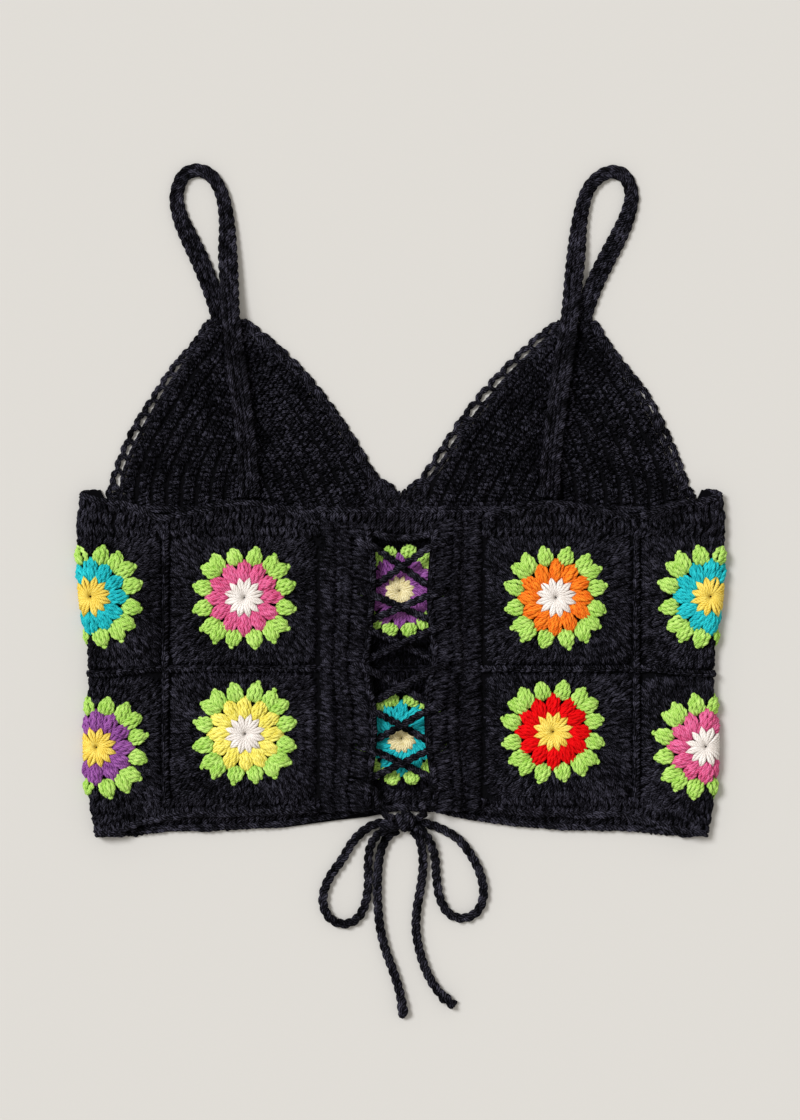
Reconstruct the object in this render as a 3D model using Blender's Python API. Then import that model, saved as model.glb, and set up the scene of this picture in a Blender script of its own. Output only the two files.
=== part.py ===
"""Sleeveless crochet top of flower squares, laid flat on its front with the laced back upwards.

The front lies on the ground from Z = 0, the back lies on it, and both are joined by side squares that
wrap the folds. +Y points to the straps. The tables below are in millimetres.
"""
import math

import bmesh
import bpy
import numpy as np

MM = 0.001
SEAM_GAP = 0.3

# Heights of the layers
FRONT_WALL = 2.6
BACK_FLOOR = 3.1
BACK_WALL = 2.8
FOLD_FLOOR = 4.6
FOLD_ROUND = 5.0
SEAM_RIDGE = 0.6

# Cross seams of the body: Y, and how far they drop at the folds
BAND_SEAM = (-22.0, 0.0)
MIDDLE_SEAM = (-104.3, 3.0)
HEM_SEAM = (-185.3, 11.0)
SIDE_SLOPE_X = (156, 180)
SLOPE_LINES = (156, 168, 180)
ROWS = {"upper": (MIDDLE_SEAM, BAND_SEAM), "lower": (HEM_SEAM, MIDDLE_SEAM)}
SIDES = {"left": -1, "right": 1}

# Upright seams of the body
PLACKET_X = 50.0
BACK_SEAM_X = 146.0
FRONT_SEAM_X = 155.5
FRONT_CENTRE_X = 52.0
CUP_BASE_Y = -5.6
SQUARE_WIDTH = 97.0
SQUARE_LINES = (-1, -0.95, -0.86, 0, 0.86, 0.95, 1)

# Lacing: a cord wound over the edge strips of the two plackets
CORD_RADIUS = 2.1
LACE_LOW = 6.4
STRIP_WALL = 2.2
STRIP_FLOOR = LACE_LOW + CORD_RADIUS + SEAM_GAP
LACE_HIGH = STRIP_FLOOR + STRIP_WALL + SEAM_GAP + CORD_RADIUS
GAP_X = 16.6
SLOT_X = (22.6, 29.6)
SLOT_HALF = 4.0
WRAP_X = 23.6
SLOT_Y = (-25.5, -55.5, -77.2, -101.4, -127.4, -151.6, -175.2)
CROSS_LIFT = 2.5
STRIP_REACH = 8.8
STRIP_SLANT = 4.4
# The strand that sags between the upper slots: x, y, z
LACE_SAG = ((10, -22.6, 6.6), (0, -23.4, 6.8), (-10, -22.6, 6.6))
# The two ends of the lacing on their way to the knot: left x, right x, y, z
LACE_END = (
    (-13.6, 13.6, -187.5, 11.4), (-13.4, 13.4, -191.4, 8.8), (-9.1, 14.1, -194.9, 7.4),
    (-5.1, 10.1, -197.0, 6.9),
)

# Bow of the same cord, free on the ground
BOW_RADIUS = 2.5
BOW_Z = 2.6
KNOT_CENTRE = (2.5, -198.6, 5.3)
KNOT_RADII = (5.9, 5.6, 5.0)
KNOT_STRAND = 0.12
KNOT_FLOOR = 0.2

# The outer fold of each side: y, left x, right x
FOLD = (
    (10, -194, 194), (4, -197.8, 197.8), (-11, -200.4, 200.4), (-26, -200.0, 200.0), (-47, -198.3, 198.1),
    (-93, -193.4, 193.8), (-117, -193.1, 193.4), (-140, -194.4, 194.4), (-173, -194.1, 194.1),
    (-195, -191.6, 192.2), (-209, -188.5, 188.5),
)

# Upper edge of the back: distance from the middle, left y, right y
BACK_TOP = (
    (15, -17.7, -17.7), (34, -14.9, -13.3), (50, -11.5, -9.9), (63, -6.5, -5.2), (78, -2.2, -1.8),
    (94, 0.2, -0.3), (109, -0.2, -1.7), (122, -3.4, -4.6), (133, -5.6, -7.4), (145, -9.6, -8.9),
    (153, -8.7, -7.2), (162, -4.3, -3.2), (172, -0.9, -0.4), (185, 0.7, 0.7), (198, 3.4, 3.4),
)

# Lower edge of the back: distance from the middle, left y, right y
BACK_HEM = (
    (15, -190.7, -190.7), (50, -193.1, -192.5), (81, -194.7, -195.6), (112, -195.6, -196.6),
    (137, -196.5, -195.8), (151, -198.7, -200.0), (166, -202.4, -204.0), (177, -207.6, -206.6),
    (189, -208.0, -208.0),
)

# Lower edge of the front: distance from the middle, left y, right y
FRONT_HEM = (
    (0, -192.0, -192.0), (12, -194.6, -193.2), (21, -196.4, -192.8), (40, -198.5, -197.4),
    (73, -203.1, -202.2), (104, -204.0, -204.4), (142, -205.5, -205.1), (160, -206.2, -206.4),
    (177, -209.2, -208.6), (189, -208.4, -208.6),
)

# Upper edge of the front beside the cups: distance from the middle, y
FRONT_TOP = ((150, -5.9), (174, -5.9), (183, -1.5), (187, 6.6), (194, 5.6), (198, 3.4))

# Inner edge of each placket beside the lacing: y, left x, right x
GAP = (
    (-18, -18.4, 18.6), (-29, -16.1, 18.0), (-46, -14.9, 16.7), (-62, -16.1, 16.1), (-83, -18.0, 17.4),
    (-98, -19.6, 19.2), (-111, -18.2, 15.5), (-127, -15.4, 14.4), (-142, -14.4, 14.3), (-158, -15.8, 16.1),
    (-170, -17.4, 18.0), (-183, -18.6, 19.0), (-191, -16.7, 18.0),
)

# Cups, apex to base. Each row: armhole edge x, y, then neckline edge x, y
CUPS = {
    "left": (
        (-115.9, 112.2, -101.2, 112.2), (-122.1, 100.8, -86.2, 95.8), (-133.3, 85.9, -68.8, 80.9),
        (-145.7, 67.3, -52.1, 62.9), (-158.1, 46.8, -37.8, 42.5), (-167.4, 28.2, -24.2, 20.8),
        (-172.6, 11.5, -11.0, 5.0), (-172.8, CUP_BASE_Y, -0.3, CUP_BASE_Y),
    ),
    "right": (
        (117.2, 111.4, 102.3, 111.4), (123.4, 98.3, 91.1, 99.5), (136.4, 80.3, 74.0, 82.6),
        (148.8, 62.3, 55.6, 62.3), (158.1, 45.0, 39.5, 41.5), (165.5, 28.2, 26.4, 22.6),
        (172.0, 10.8, 13.0, 5.4), (172.8, CUP_BASE_Y, 0.3, CUP_BASE_Y),
    ),
}

# Outer line of each cup edging, apex to base: x, y
ARMHOLE_LINE = {
    "left": ((-119.9, 112.6), (-129, 98.3), (-142.3, 83.4), (-155.3, 64.2), (-167.6, 44.6), (-177.1, 22.6),
             (-181.4, 9.6)),
    "right": ((121.2, 111.8), (129.4, 98.3), (142.0, 81.7), (153.9, 66.7), (164.3, 46.8), (171.9, 29.4),
              (179.0, 10.6)),
}
NECK_LINE = {
    "left": ((-97.0, 112.6), (-80.0, 100.4), (-64.2, 85.6), (-50.8, 69.8), (-38.1, 52.6), (-25.4, 33.6),
             (-14.6, 15.2), (-0.25, 7.4)),
    "right": ((98.0, 111.8), (84.9, 103.2), (66.7, 86.4), (48.5, 67.2), (34.3, 48.3), (20.5, 27.6),
              (10.4, 13.2), (0.25, 7.4)),
}

# Fullness of each cup from armhole to neckline: share of the width, height
FULLNESS = {
    "left": ((0, 0), (0.22, 1.8), (0.5, 3.0), (0.63, 0.3), (0.8, 2.8), (1, 0)),
    "right": ((0, 0), (0.22, 2.8), (0.4, 0.3), (0.53, 3.0), (0.8, 1.8), (1, 0)),
}
CUP_RIBS = 10
CUP_ROWS = (0, 0.12, 0.3, 0.54, 0.78, 0.95, 1)
RIB_HEIGHT = 0.9

# Edgings: eyelets along each cup edge, rows across it, and where they end above the front's band
EYELETS = 12
EDGING_ROWS = (0, 0.3, 0.68, 1)
EDGING_GAP = 0.45
ARMHOLE_END_Y = 4.0
NECK_END_Y = 0.6

# Straps, from the back's upper edge over the cup, round the shoulder loop and back to the apex:
# x, y, z of the underside, width
STRAPS = {
    "left": (
        (-93.9, 1.2, 3.8, 10.5), (-94.7, 20, 5.9, 9.6), (-96.6, 45, 7.1, 9.4), (-101, 78, 7.1, 9.2),
        (-104.6, 108, 6.4, 9.6), (-106.2, 130, 3.6, 11.8), (-107.4, 152, 2.0, 12.2), (-108.2, 174, 0.4, 9.4),
        (-111.4, 191, 0, 7.8), (-118.2, 202.2, 0, 7.6), (-127.6, 205.4, 0, 7.6), (-135.6, 201.2, 0, 7.8),
        (-139.5, 189, 0, 8.2), (-137.2, 176, 0, 9.6), (-131.5, 163, 0, 11.4), (-124.2, 147.5, 0, 11.8),
        (-117.8, 131, 0, 11.4), (-113.8, 118, 0, 10.8), (-113.0, 113.3, 0, 10.6),
    ),
    "right": (
        (92.1, 1.0, 3.8, 10.5), (92.8, 20, 5.9, 9.6), (95.0, 45, 7.1, 9.4), (99.4, 78, 7.1, 9.2),
        (103.8, 108, 6.4, 9.6), (106.6, 131, 3.6, 11.6), (108.8, 152, 2.0, 11.8), (111.2, 174, 0.4, 9.4),
        (115.6, 191.4, 0, 7.8), (122.6, 200.6, 0, 7.6), (131.6, 204.4, 0, 7.6), (139.4, 201.2, 0, 7.8),
        (143.3, 190, 0, 8.2), (140.6, 177, 0, 9.6), (135.0, 164, 0, 11.2), (127.2, 149, 0, 11.6),
        (119.6, 133, 0, 11.4), (114.4, 118, 0, 10.8), (113.5, 112.6, 0, 10.6),
    ),
}
STRAP_SECTIONS = 28

# Flowers: name, centre x, centre y, yarn of the petals, how much of the round shows
FLOWERS = (
    ("back_left_upper", -97.0, -60.2, "pink", "whole"),
    ("back_left_lower", -96.5, -144.6, "pale_yellow", "whole"),
    ("back_right_upper", 96.0, -60.2, "orange", "whole"),
    ("back_right_lower", 94.2, -143.2, "red", "whole"),
    ("side_left_upper", -192.0, -59.6, "teal", "left"),
    ("side_left_lower", -188.4, -152.8, "purple", "left"),
    ("side_right_upper", 191.6, -59.6, "teal", "right"),
    ("side_right_lower", 188.6, -152.4, "pink", "right"),
    ("front_centre_upper", -0.8, -56.1, "purple", "inside"),
    ("front_centre_lower", 0.4, -147.6, "teal", "inside"),
)
ROUND_PARTS = ("whole", "inside")
PETALS = 12
LEAVES = 16
INSIDE_SHARE = 0.4

# Section of the star and petals: radius, height on a crest, height between two crests
BLOOM_SECTION = ((2.2, 0.9, 0.9), (6.0, 2.1, 1.7), (11.2, 1.3, 1.0), (17.0, 2.7, 1.4), (23.0, 0.9, 0.9))
PETAL_NOTCH = 3.2
# Section of the leaves: radius on a crest, radius between two crests, and the height at each
LEAF_SECTION = ((23.4, 23.4, 0.9, 0.9), (27.6, 25.4, 2.2, 1.1), (31.6, 27.0, 0.8, 0.8))
CORNER_LEAF = 1.8

# Free ends of the cord on the ground, from the knot outwards: x, y, z
BOW_LOOPS = {
    "left": (
        (-3.9, -199.9, 2.9), (-15.5, -200.9, BOW_Z), (-23.6, -205.5, BOW_Z), (-30.2, -212.5, BOW_Z),
        (-36.6, -223.0, BOW_Z), (-43.4, -232.6, BOW_Z), (-47.6, -242.0, BOW_Z), (-48.2, -251.0, BOW_Z),
        (-44.2, -259.3, BOW_Z), (-36.0, -263.0, BOW_Z), (-27.8, -260.0, BOW_Z), (-22.6, -251.5, BOW_Z),
        (-20.4, -239.0, BOW_Z), (-20.4, -226.0, BOW_Z), (-18.9, -214.5, 4.2), (-13.5, -206.3, 7.2),
        (-4.6, -201.9, 8.3),
    ),
    "right": (
        (9.0, -199.6, 2.9), (16.7, -200.8, BOW_Z), (26.0, -204.3, BOW_Z), (36.0, -210.6, BOW_Z),
        (44.6, -221.9, BOW_Z), (50.0, -234.1, BOW_Z), (51.2, -246.2, BOW_Z), (46.8, -255.9, BOW_Z),
        (37.8, -259.5, BOW_Z), (29.2, -256.0, BOW_Z), (24.0, -246.4, BOW_Z), (22.0, -234.1, BOW_Z),
        (21.2, -222.5, BOW_Z), (18.3, -212.5, 4.4), (14.0, -205.8, 7.4), (9.8, -202.2, 8.3),
    ),
}
BOW_TAILS = {
    "left": (
        (-2.1, -204.6, 3.4), (-7.4, -207.8, 2.8), (-11.8, -215.6, BOW_Z), (-13.9, -226.0, BOW_Z),
        (-14.5, -238.4, BOW_Z), (-14.3, -250.8, BOW_Z), (-12.9, -265.1, BOW_Z), (-9.7, -278.7, BOW_Z),
        (-5.0, -291.7, BOW_Z), (-0.9, -304.7, BOW_Z), (1.0, -315.0, 3.2), (1.3, -321.6, 3.2),
    ),
    "right": (
        (6.6, -204.8, 3.4), (10.9, -208.9, 2.8), (13.3, -217.7, BOW_Z), (13.7, -229.1, BOW_Z),
        (12.1, -241.5, BOW_Z), (10.0, -253.7, BOW_Z), (9.5, -267.5, BOW_Z), (12.4, -282.6, BOW_Z),
        (17.2, -295.3, BOW_Z), (22.9, -304.4, BOW_Z), (28.4, -309.8, 3.2), (33.0, -313.6, 3.2),
    ),
}
END_KNOT_SWELL = 1.25

# Base colour and roughness of each yarn
YARNS = {
    "black": ((0.012, 0.012, 0.015), 0.92),
    "green": ((0.27, 0.60, 0.06), 0.88),
    "pink": ((0.66, 0.07, 0.26), 0.88),
    "teal": ((0.02, 0.42, 0.56), 0.88),
    "purple": ((0.20, 0.05, 0.34), 0.88),
    "orange": ((0.90, 0.16, 0.02), 0.88),
    "red": ((0.76, 0.01, 0.02), 0.88),
    "pale_yellow": ((0.92, 0.68, 0.12), 0.88),
}


def clear_scene():
    for item in list(bpy.data.objects):
        bpy.data.objects.remove(item, do_unlink=True)


def garment_collection():
    holder = bpy.data.collections.new("crochet_top")
    bpy.context.scene.collection.children.link(holder)
    return holder


def yarn(name):
    """The material of one yarn, made once."""
    if name in bpy.data.materials:
        return bpy.data.materials[name]
    colour, roughness = YARNS[name]
    material = bpy.data.materials.new(name)
    material.use_nodes = True
    shader = material.node_tree.nodes["Principled BSDF"]
    shader.inputs["Base Color"].default_value = (*colour, 1.0)
    shader.inputs["Roughness"].default_value = roughness
    shader.inputs["Metallic"].default_value = 0.0
    return material


def add_body(name, points, faces, yarn_name):
    """One closed body from points in millimetres, its faces turned outwards."""
    mesh = bpy.data.meshes.new(name)
    mesh.from_pydata([tuple(MM * float(value) for value in point) for point in points], [], faces)
    work = bmesh.new()
    work.from_mesh(mesh)
    bmesh.ops.recalc_face_normals(work, faces=work.faces)
    work.to_mesh(mesh)
    work.free()
    mesh.materials.append(yarn(yarn_name))
    body = bpy.data.objects.new(name, mesh)
    TOP.objects.link(body)
    return body


def wall(name, outer, inner, yarn_name="black", openings=()):
    """A wall between two equal grids of points, with the listed cells left open."""
    rows, columns = outer.shape[:2]
    cells = {(r, c) for r in range(rows - 1) for c in range(columns - 1)} - set(openings)
    below = rows * columns
    faces = []
    for r, c in sorted(cells):
        ring = [(r, c), (r, c + 1), (r + 1, c + 1), (r + 1, c)]
        ids = [row * columns + column for row, column in ring]
        faces.append(ids)
        faces.append([below + i for i in reversed(ids)])
        beyond = [(r - 1, c), (r, c + 1), (r + 1, c), (r, c - 1)]
        for edge, neighbour in enumerate(beyond):
            if neighbour not in cells:
                a, b = ids[edge], ids[(edge + 1) % 4]
                faces.append([b, a, below + a, below + b])
    points = np.concatenate([outer.reshape(-1, 3), inner.reshape(-1, 3)])
    return add_body(name, points, faces, yarn_name)


def loft(name, sections, yarn_name, ring):
    """A body through equal closed sections, bent to a ring or with a flat face at each end."""
    count, size = sections.shape[:2]
    faces = []
    for i in range(count if ring else count - 1):
        after = (i + 1) % count
        for j in range(size):
            k = (j + 1) % size
            faces.append([i * size + j, i * size + k, after * size + k, after * size + j])
    if not ring:
        faces.append(list(reversed(range(size))))
        faces.append(list(range((count - 1) * size, count * size)))
    return add_body(name, sections.reshape(-1, 3), faces, yarn_name)


def smooth_path(rows, steps):
    """A Catmull-Rom curve through the rows of a table, with so many steps from one row to the next."""
    rows = np.array(rows, float)
    padded = np.vstack([2 * rows[0] - rows[1], rows, 2 * rows[-1] - rows[-2]])
    out = []
    for a, b, c, d in zip(padded, padded[1:], padded[2:], padded[3:]):
        for t in np.arange(steps) / steps:
            out.append(0.5 * (2 * b + (c - a) * t + (2 * a - 5 * b + 4 * c - d) * t**2
                              + (3 * b - a - 3 * c + d) * t**3))
    out.append(rows[-1])
    return np.array(out)


def resample(line, shares):
    """Points at the given shares of a line's length."""
    lengths = np.concatenate([[0], np.cumsum(np.linalg.norm(np.diff(line, axis=0), axis=1))])
    at = np.array(shares) * lengths[-1]
    return np.stack([np.interp(at, lengths, line[:, axis]) for axis in range(line.shape[1])], axis=1)


def look_up(table, side, key):
    """The value of a table with a left and a right column at one y or one distance from the middle."""
    rows = sorted(table)
    return np.interp(key, [row[0] for row in rows], [row[1 if side < 0 else 2] for row in rows])


def fold_x(side, y):
    return abs(look_up(FOLD, side, y))


def back_floor(x):
    """Inside height of the back: raised over the lacing and at the folds."""
    return np.interp(x, (SLOT_X[1], PLACKET_X - 3, 150, 188),
                     (STRIP_FLOOR, BACK_FLOOR, BACK_FLOOR, FOLD_FLOOR))


def pillow(u, v):
    """Relief of one square, whose edges are at -1 and 1: a low dome inside a groove and a seam ridge."""
    return np.interp(max(abs(u), abs(v)), (0, 0.86, 0.95, 1), (1.3, 0.9, 0, SEAM_RIDGE))


def square_share(value, low, high):
    return 2 * (value - low) / (high - low) - 1


def seam_y(seam, x):
    """Height of a cross seam: the side squares hang lower towards the folds."""
    level, drop = seam
    return level - drop * np.interp(x, SIDE_SLOPE_X, (0, 1))


def row_limits(row, x):
    lower, upper = ROWS[row]
    return seam_y(lower, x) + SEAM_GAP / 2, seam_y(upper, x) - SEAM_GAP / 2


def back_relief(x, y, row):
    """Relief of the back or side square at a distance from the middle."""
    v = square_share(y, *row_limits(row, x))
    if x < BACK_SEAM_X:
        return pillow(square_share(x, PLACKET_X, BACK_SEAM_X), v)
    return pillow(square_share(x, BACK_SEAM_X, BACK_SEAM_X + SQUARE_WIDTH), v)


def back_surface(x, y, row):
    """Outside height of the back at a distance from the middle."""
    return back_floor(x) + BACK_WALL + back_relief(x, y, row)


def back_square(side_name, row):
    side = SIDES[side_name]
    low, high = row_limits(row, PLACKET_X)
    start, end = PLACKET_X + SEAM_GAP, BACK_SEAM_X - SEAM_GAP
    xs = [start + (end - start) * (line + 1) / 2 for line in SQUARE_LINES]
    ys = [low + (high - low) * (line + 1) / 2 for line in SQUARE_LINES]
    outer = np.array([[(side * x, y, back_surface(x, y, row)) for x in xs] for y in ys])
    inner = np.array([[(side * x, y, back_floor(x)) for x in xs] for y in ys])
    wall(f"square_back_{side_name}_{row}", outer, inner)


def round_fold(edge, top, reach, thickness):
    """Outer and inner points of the rounded fold, between the back's last point and the front's first."""
    outer, inner = [], []
    for angle in np.radians((54, 18, -18, -54)):
        outer.append((edge + reach * math.cos(angle), top / 2 * (1 + math.sin(angle))))
        inner.append((edge + (reach - thickness) * math.cos(angle),
                      top / 2 + (top / 2 - thickness) * math.sin(angle)))
    return outer, inner


def wrapped_level(side, back_xs, front_xs, y_at, height_at):
    """One level of a piece that runs along the back, round the fold and along the front."""
    fold_y = y_at(fold_x(side, y_at(196, False)), False)
    edge = fold_x(side, fold_y) - FOLD_ROUND
    outer, inner = [], []
    for x in (*back_xs, edge):
        y = y_at(x, False)
        outer.append((side * x, y, height_at(x, y)))
        inner.append((side * x, y, back_floor(x)))
    top = height_at(edge, fold_y)
    bend_outer, bend_inner = round_fold(edge, top, FOLD_ROUND, FRONT_WALL)
    for (outer_x, outer_z), (inner_x, inner_z) in zip(bend_outer, bend_inner):
        outer.append((side * outer_x, fold_y, outer_z))
        inner.append((side * inner_x, fold_y, inner_z))
    for x in (edge, *front_xs):
        y = y_at(x, True)
        outer.append((side * x, y, 0))
        inner.append((side * x, y, FRONT_WALL))
    return outer, inner


def wrapped_wall(name, side, levels, back_xs, front_xs, y_of, height_at):
    """A piece round the fold, from its levels between a lower and an upper edge."""
    made = [wrapped_level(side, back_xs, front_xs, lambda x, front, f=share: y_of(x, front, f), height_at)
            for share in levels]
    wall(name, np.array([level[0] for level in made]), np.array([level[1] for level in made]))


def side_square(side_name, row):
    levels = (0, 0.025, 0.07, 0.3, 0.5, 0.7, 0.93, 0.975, 1)
    back_xs = (BACK_SEAM_X + SEAM_GAP / 2, BACK_SEAM_X + 2.4, BACK_SEAM_X + 6.8, *SLOPE_LINES)

    def y_of(x, front, share):
        low, high = row_limits(row, x)
        return low + (high - low) * share

    wrapped_wall(f"square_side_{side_name}_{row}", SIDES[side_name], levels, back_xs,
                 (SLOPE_LINES[-1], FRONT_SEAM_X + SEAM_GAP / 2), y_of, lambda x, y: back_surface(x, y, row))


def front_wall(name, xs, ys_at):
    """A flat piece of the front: its X lines, and at each the Y values from low to high."""
    under = np.array([[(x, y, 0) for y in ys_at(x)] for x in xs])
    wall(name, under, under + (0, 0, FRONT_WALL))


def front_squares():
    columns = (
        ("left", -FRONT_SEAM_X, -FRONT_CENTRE_X),
        ("centre", -FRONT_CENTRE_X, FRONT_CENTRE_X),
        ("right", FRONT_CENTRE_X, FRONT_SEAM_X),
    )
    for row in ROWS:
        low, high = row_limits(row, 0)
        for name, start, end in columns:
            xs = np.linspace(start + SEAM_GAP / 2, end - SEAM_GAP / 2, 3)
            front_wall(f"square_front_{name}_{row}", xs, lambda x: np.linspace(low, high, 3))


def band_height(x, _):
    """Outside height of a flat band, level with the seam ridges beside it."""
    return back_floor(x) + BACK_WALL + SEAM_RIDGE


def side_band(side_name):
    side = SIDES[side_name]

    def y_of(x, front, share):
        low = seam_y(BAND_SEAM, x) + SEAM_GAP / 2
        top = np.interp(x, *zip(*FRONT_TOP)) if front else look_up(BACK_TOP, side, x)
        return low + (top - low) * share

    back_xs = (PLACKET_X + SEAM_GAP, 63, 78, 94, 109, 122, 133, 145, 153, 162, 172, 184)
    wrapped_wall(f"top_band_{side_name}", side, (0, 0.5, 1), back_xs,
                 (187, 183, 174, FRONT_SEAM_X + SEAM_GAP / 2),
                 y_of, band_height)


def front_band():
    reach = FRONT_SEAM_X - SEAM_GAP / 2
    low = seam_y(BAND_SEAM, 0) + SEAM_GAP / 2
    front_wall("top_band_front", np.linspace(-reach, reach, 3), lambda x: (low, CUP_BASE_Y - SEAM_GAP))


def side_hem(side_name):
    side = SIDES[side_name]

    def y_of(x, front, share):
        bottom = look_up(FRONT_HEM if front else BACK_HEM, side, x)
        return bottom + (seam_y(HEM_SEAM, x) - SEAM_GAP / 2 - bottom) * share

    back_xs = (PLACKET_X + SEAM_GAP, 81, 112, 137, *SLOPE_LINES)
    wrapped_wall(f"hem_{side_name}", side, (0, 0.5, 1), back_xs,
                 (SLOPE_LINES[-1], FRONT_SEAM_X + SEAM_GAP / 2),
                 y_of, band_height)


def front_hem():
    distances = [row[0] for row in FRONT_HEM if row[0] < FRONT_SEAM_X] + [FRONT_SEAM_X - SEAM_GAP / 2]
    xs = [-x for x in reversed(distances[1:])] + distances
    top = seam_y(HEM_SEAM, 0) - SEAM_GAP / 2
    front_wall("hem_front", xs, lambda x: (look_up(FRONT_HEM, x, abs(x)), top))


def placket(side_name):
    """The ribbed strip beside the lacing, with a slot for each turn of the cord."""
    side = SIDES[side_name]
    slots = [y + half for y in SLOT_Y for half in (SLOT_HALF, -SLOT_HALF)]
    # Distance from the middle, height of the wall
    profile = (
        (GAP_X, STRIP_WALL), (SLOT_X[0], STRIP_WALL), (SLOT_X[1], STRIP_WALL), (33, 3.6), (38.5, 2.5),
        (44.5, 4.0), (PLACKET_X, 3.1),
    )
    outer, inner = [], []
    for x, height in profile:
        top = look_up(BACK_TOP, side, x)
        bottom = look_up(BACK_HEM, side, x)
        column = []
        for y in (top, *slots, bottom):
            shift = (abs(look_up(GAP, side, y)) - GAP_X) * np.interp(x, (SLOT_X[1], PLACKET_X), (1, 0))
            column.append((side * (x + shift), y, back_floor(x)))
        inner.append(column)
        outer.append([(px, py, pz + height) for px, py, pz in column])
    openings = [(1, 1 + 2 * i) for i in range(len(SLOT_Y))]
    wall(f"lacing_band_{side_name}", np.array(outer), np.array(inner), "black", openings)


def cup_edges(side_name):
    """The armhole and the neckline edge of a cup at each of its rows."""
    line = smooth_path(CUPS[side_name], 3)
    return resample(line[:, :2], CUP_ROWS), resample(line[:, 2:], CUP_ROWS)


def cup(side_name):
    """One cup: ribs fan out from the apex, and a fold runs down beside the strap."""
    armhole, neckline = cup_edges(side_name)
    spread = np.interp(CUP_ROWS, (0, 0.12, 0.54, 0.78, 0.95), (0, 0.7, 1, 0.7, 0))
    fade = np.interp(CUP_ROWS, (0, 0.78, 0.95), (1, 1, 0))
    widths, heights = zip(*FULLNESS[side_name])
    outer, inner = [], []
    for i in range(len(CUP_ROWS)):
        floor, top = [], []
        for column in range(2 * CUP_RIBS + 1):
            u = column / (2 * CUP_RIBS)
            x, y = armhole[i] + (neckline[i] - armhole[i]) * u
            lift = spread[i] * np.interp(u, widths, heights)
            rib = RIB_HEIGHT * fade[i] * (column % 2)
            floor.append((x, y, lift))
            top.append((x, y, lift + FRONT_WALL + rib))
        inner.append(floor)
        outer.append(top)
    wall(f"cup_{side_name}", np.array(outer), np.array(inner))


def edging(name, cup_line, outer_line, outward):
    """A ladder of posts and open eyelets along a cup's edge, with a scalloped outer line."""
    post, opening = 0.36, 0.64
    stations = [0.0]
    for i in range(2 * EYELETS + 1):
        stations.append(stations[-1] + (opening if i % 2 else post))
    stations = np.array(stations) / stations[-1]
    near = resample(cup_line, stations)
    along = np.gradient(near, axis=0)
    along /= np.linalg.norm(along, axis=1, keepdims=True)
    near += EDGING_GAP * outward * np.column_stack([along[:, 1], -along[:, 0]])
    far = resample(smooth_path(outer_line, 3), stations)
    rows = []
    for share in EDGING_ROWS:
        row = near + (far - near) * share
        rows.append(np.column_stack([row, np.zeros(len(row))]))
    under = np.array(rows)
    openings = [(1, 1 + 2 * i) for i in range(EYELETS)]
    wall(name, under + (0, 0, FRONT_WALL), under, "black", openings)


def cup_edgings(side_name):
    outward = -SIDES[side_name]
    fine = np.linspace(0, 1, 80)
    armhole, neckline = (resample(line, fine) for line in cup_edges(side_name))
    edging(f"edging_armhole_{side_name}", armhole[armhole[:, 1] > ARMHOLE_END_Y], ARMHOLE_LINE[side_name],
           outward)
    edging(f"edging_neck_{side_name}", neckline[neckline[:, 1] > NECK_END_Y], NECK_LINE[side_name], -outward)


def strap(side_name):
    """A ribbon of two crochet rows, bent sideways round the shoulder loop."""
    line = resample(smooth_path(STRAPS[side_name], 4), np.linspace(0, 1, STRAP_SECTIONS))
    along = np.gradient(line[:, :2], axis=0)
    along /= np.linalg.norm(along, axis=1, keepdims=True)
    along[-1] = (0, -1)
    across = np.column_stack([-along[:, 1], along[:, 0]])
    # Share of the width, height of the ribbon
    section = ((-0.5, 2.0), (-0.27, 2.9), (0, 2.3), (0.27, 2.9), (0.5, 2.0))
    outer, inner = [], []
    for (x, y, z, width), (nx, ny) in zip(line, across):
        z = max(z, 0)
        inner.append([(x + nx * width * share, y + ny * width * share, z) for share, height in section])
        outer.append([(x + nx * width * share, y + ny * width * share, z + height)
                      for share, height in section])
    wall(f"strap_{side_name}", np.array(outer), np.array(inner))


def flower_angles(count, part):
    """Angles of the sections: crests and notches round the flower, or on the half beside the fold."""
    step = math.pi / count
    if part == "left":
        return [-math.pi / 2 + step * i for i in range(count + 1)]
    if part == "right":
        return [math.pi / 2 + step * i for i in range(count + 1)]
    return [step * i for i in range(2 * count)]


def flower_point(flower, angle, radius, height):
    """A point of a flower, moved out from the face that it lies on."""
    name, x, y, _, part = flower
    px, py = x + radius * math.cos(angle), y + radius * math.sin(angle)
    if part == "inside":
        return px, py, FRONT_WALL + SEAM_GAP + height * INSIDE_SHARE
    row = name.rsplit("_", 1)[1]
    return px, py, back_surface(abs(px), py, row) + SEAM_GAP + height


def bloom(flower):
    """The star and the petals round it."""
    name, _, _, yarn_name, part = flower
    sections = []
    for i, angle in enumerate(flower_angles(PETALS, part)):
        crest = i % 2 == 1
        rim = BLOOM_SECTION[-1][0] - (0 if crest else PETAL_NOTCH)
        section = [flower_point(flower, angle, BLOOM_SECTION[0][0], 0)]
        for radius, high, low in BLOOM_SECTION:
            section.append(flower_point(flower, angle, min(radius, rim), high if crest else low))
        section.append(flower_point(flower, angle, rim, 0))
        sections.append(section)
    loft(f"bloom_{name}", np.array(sections), yarn_name, part in ROUND_PARTS)


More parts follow.
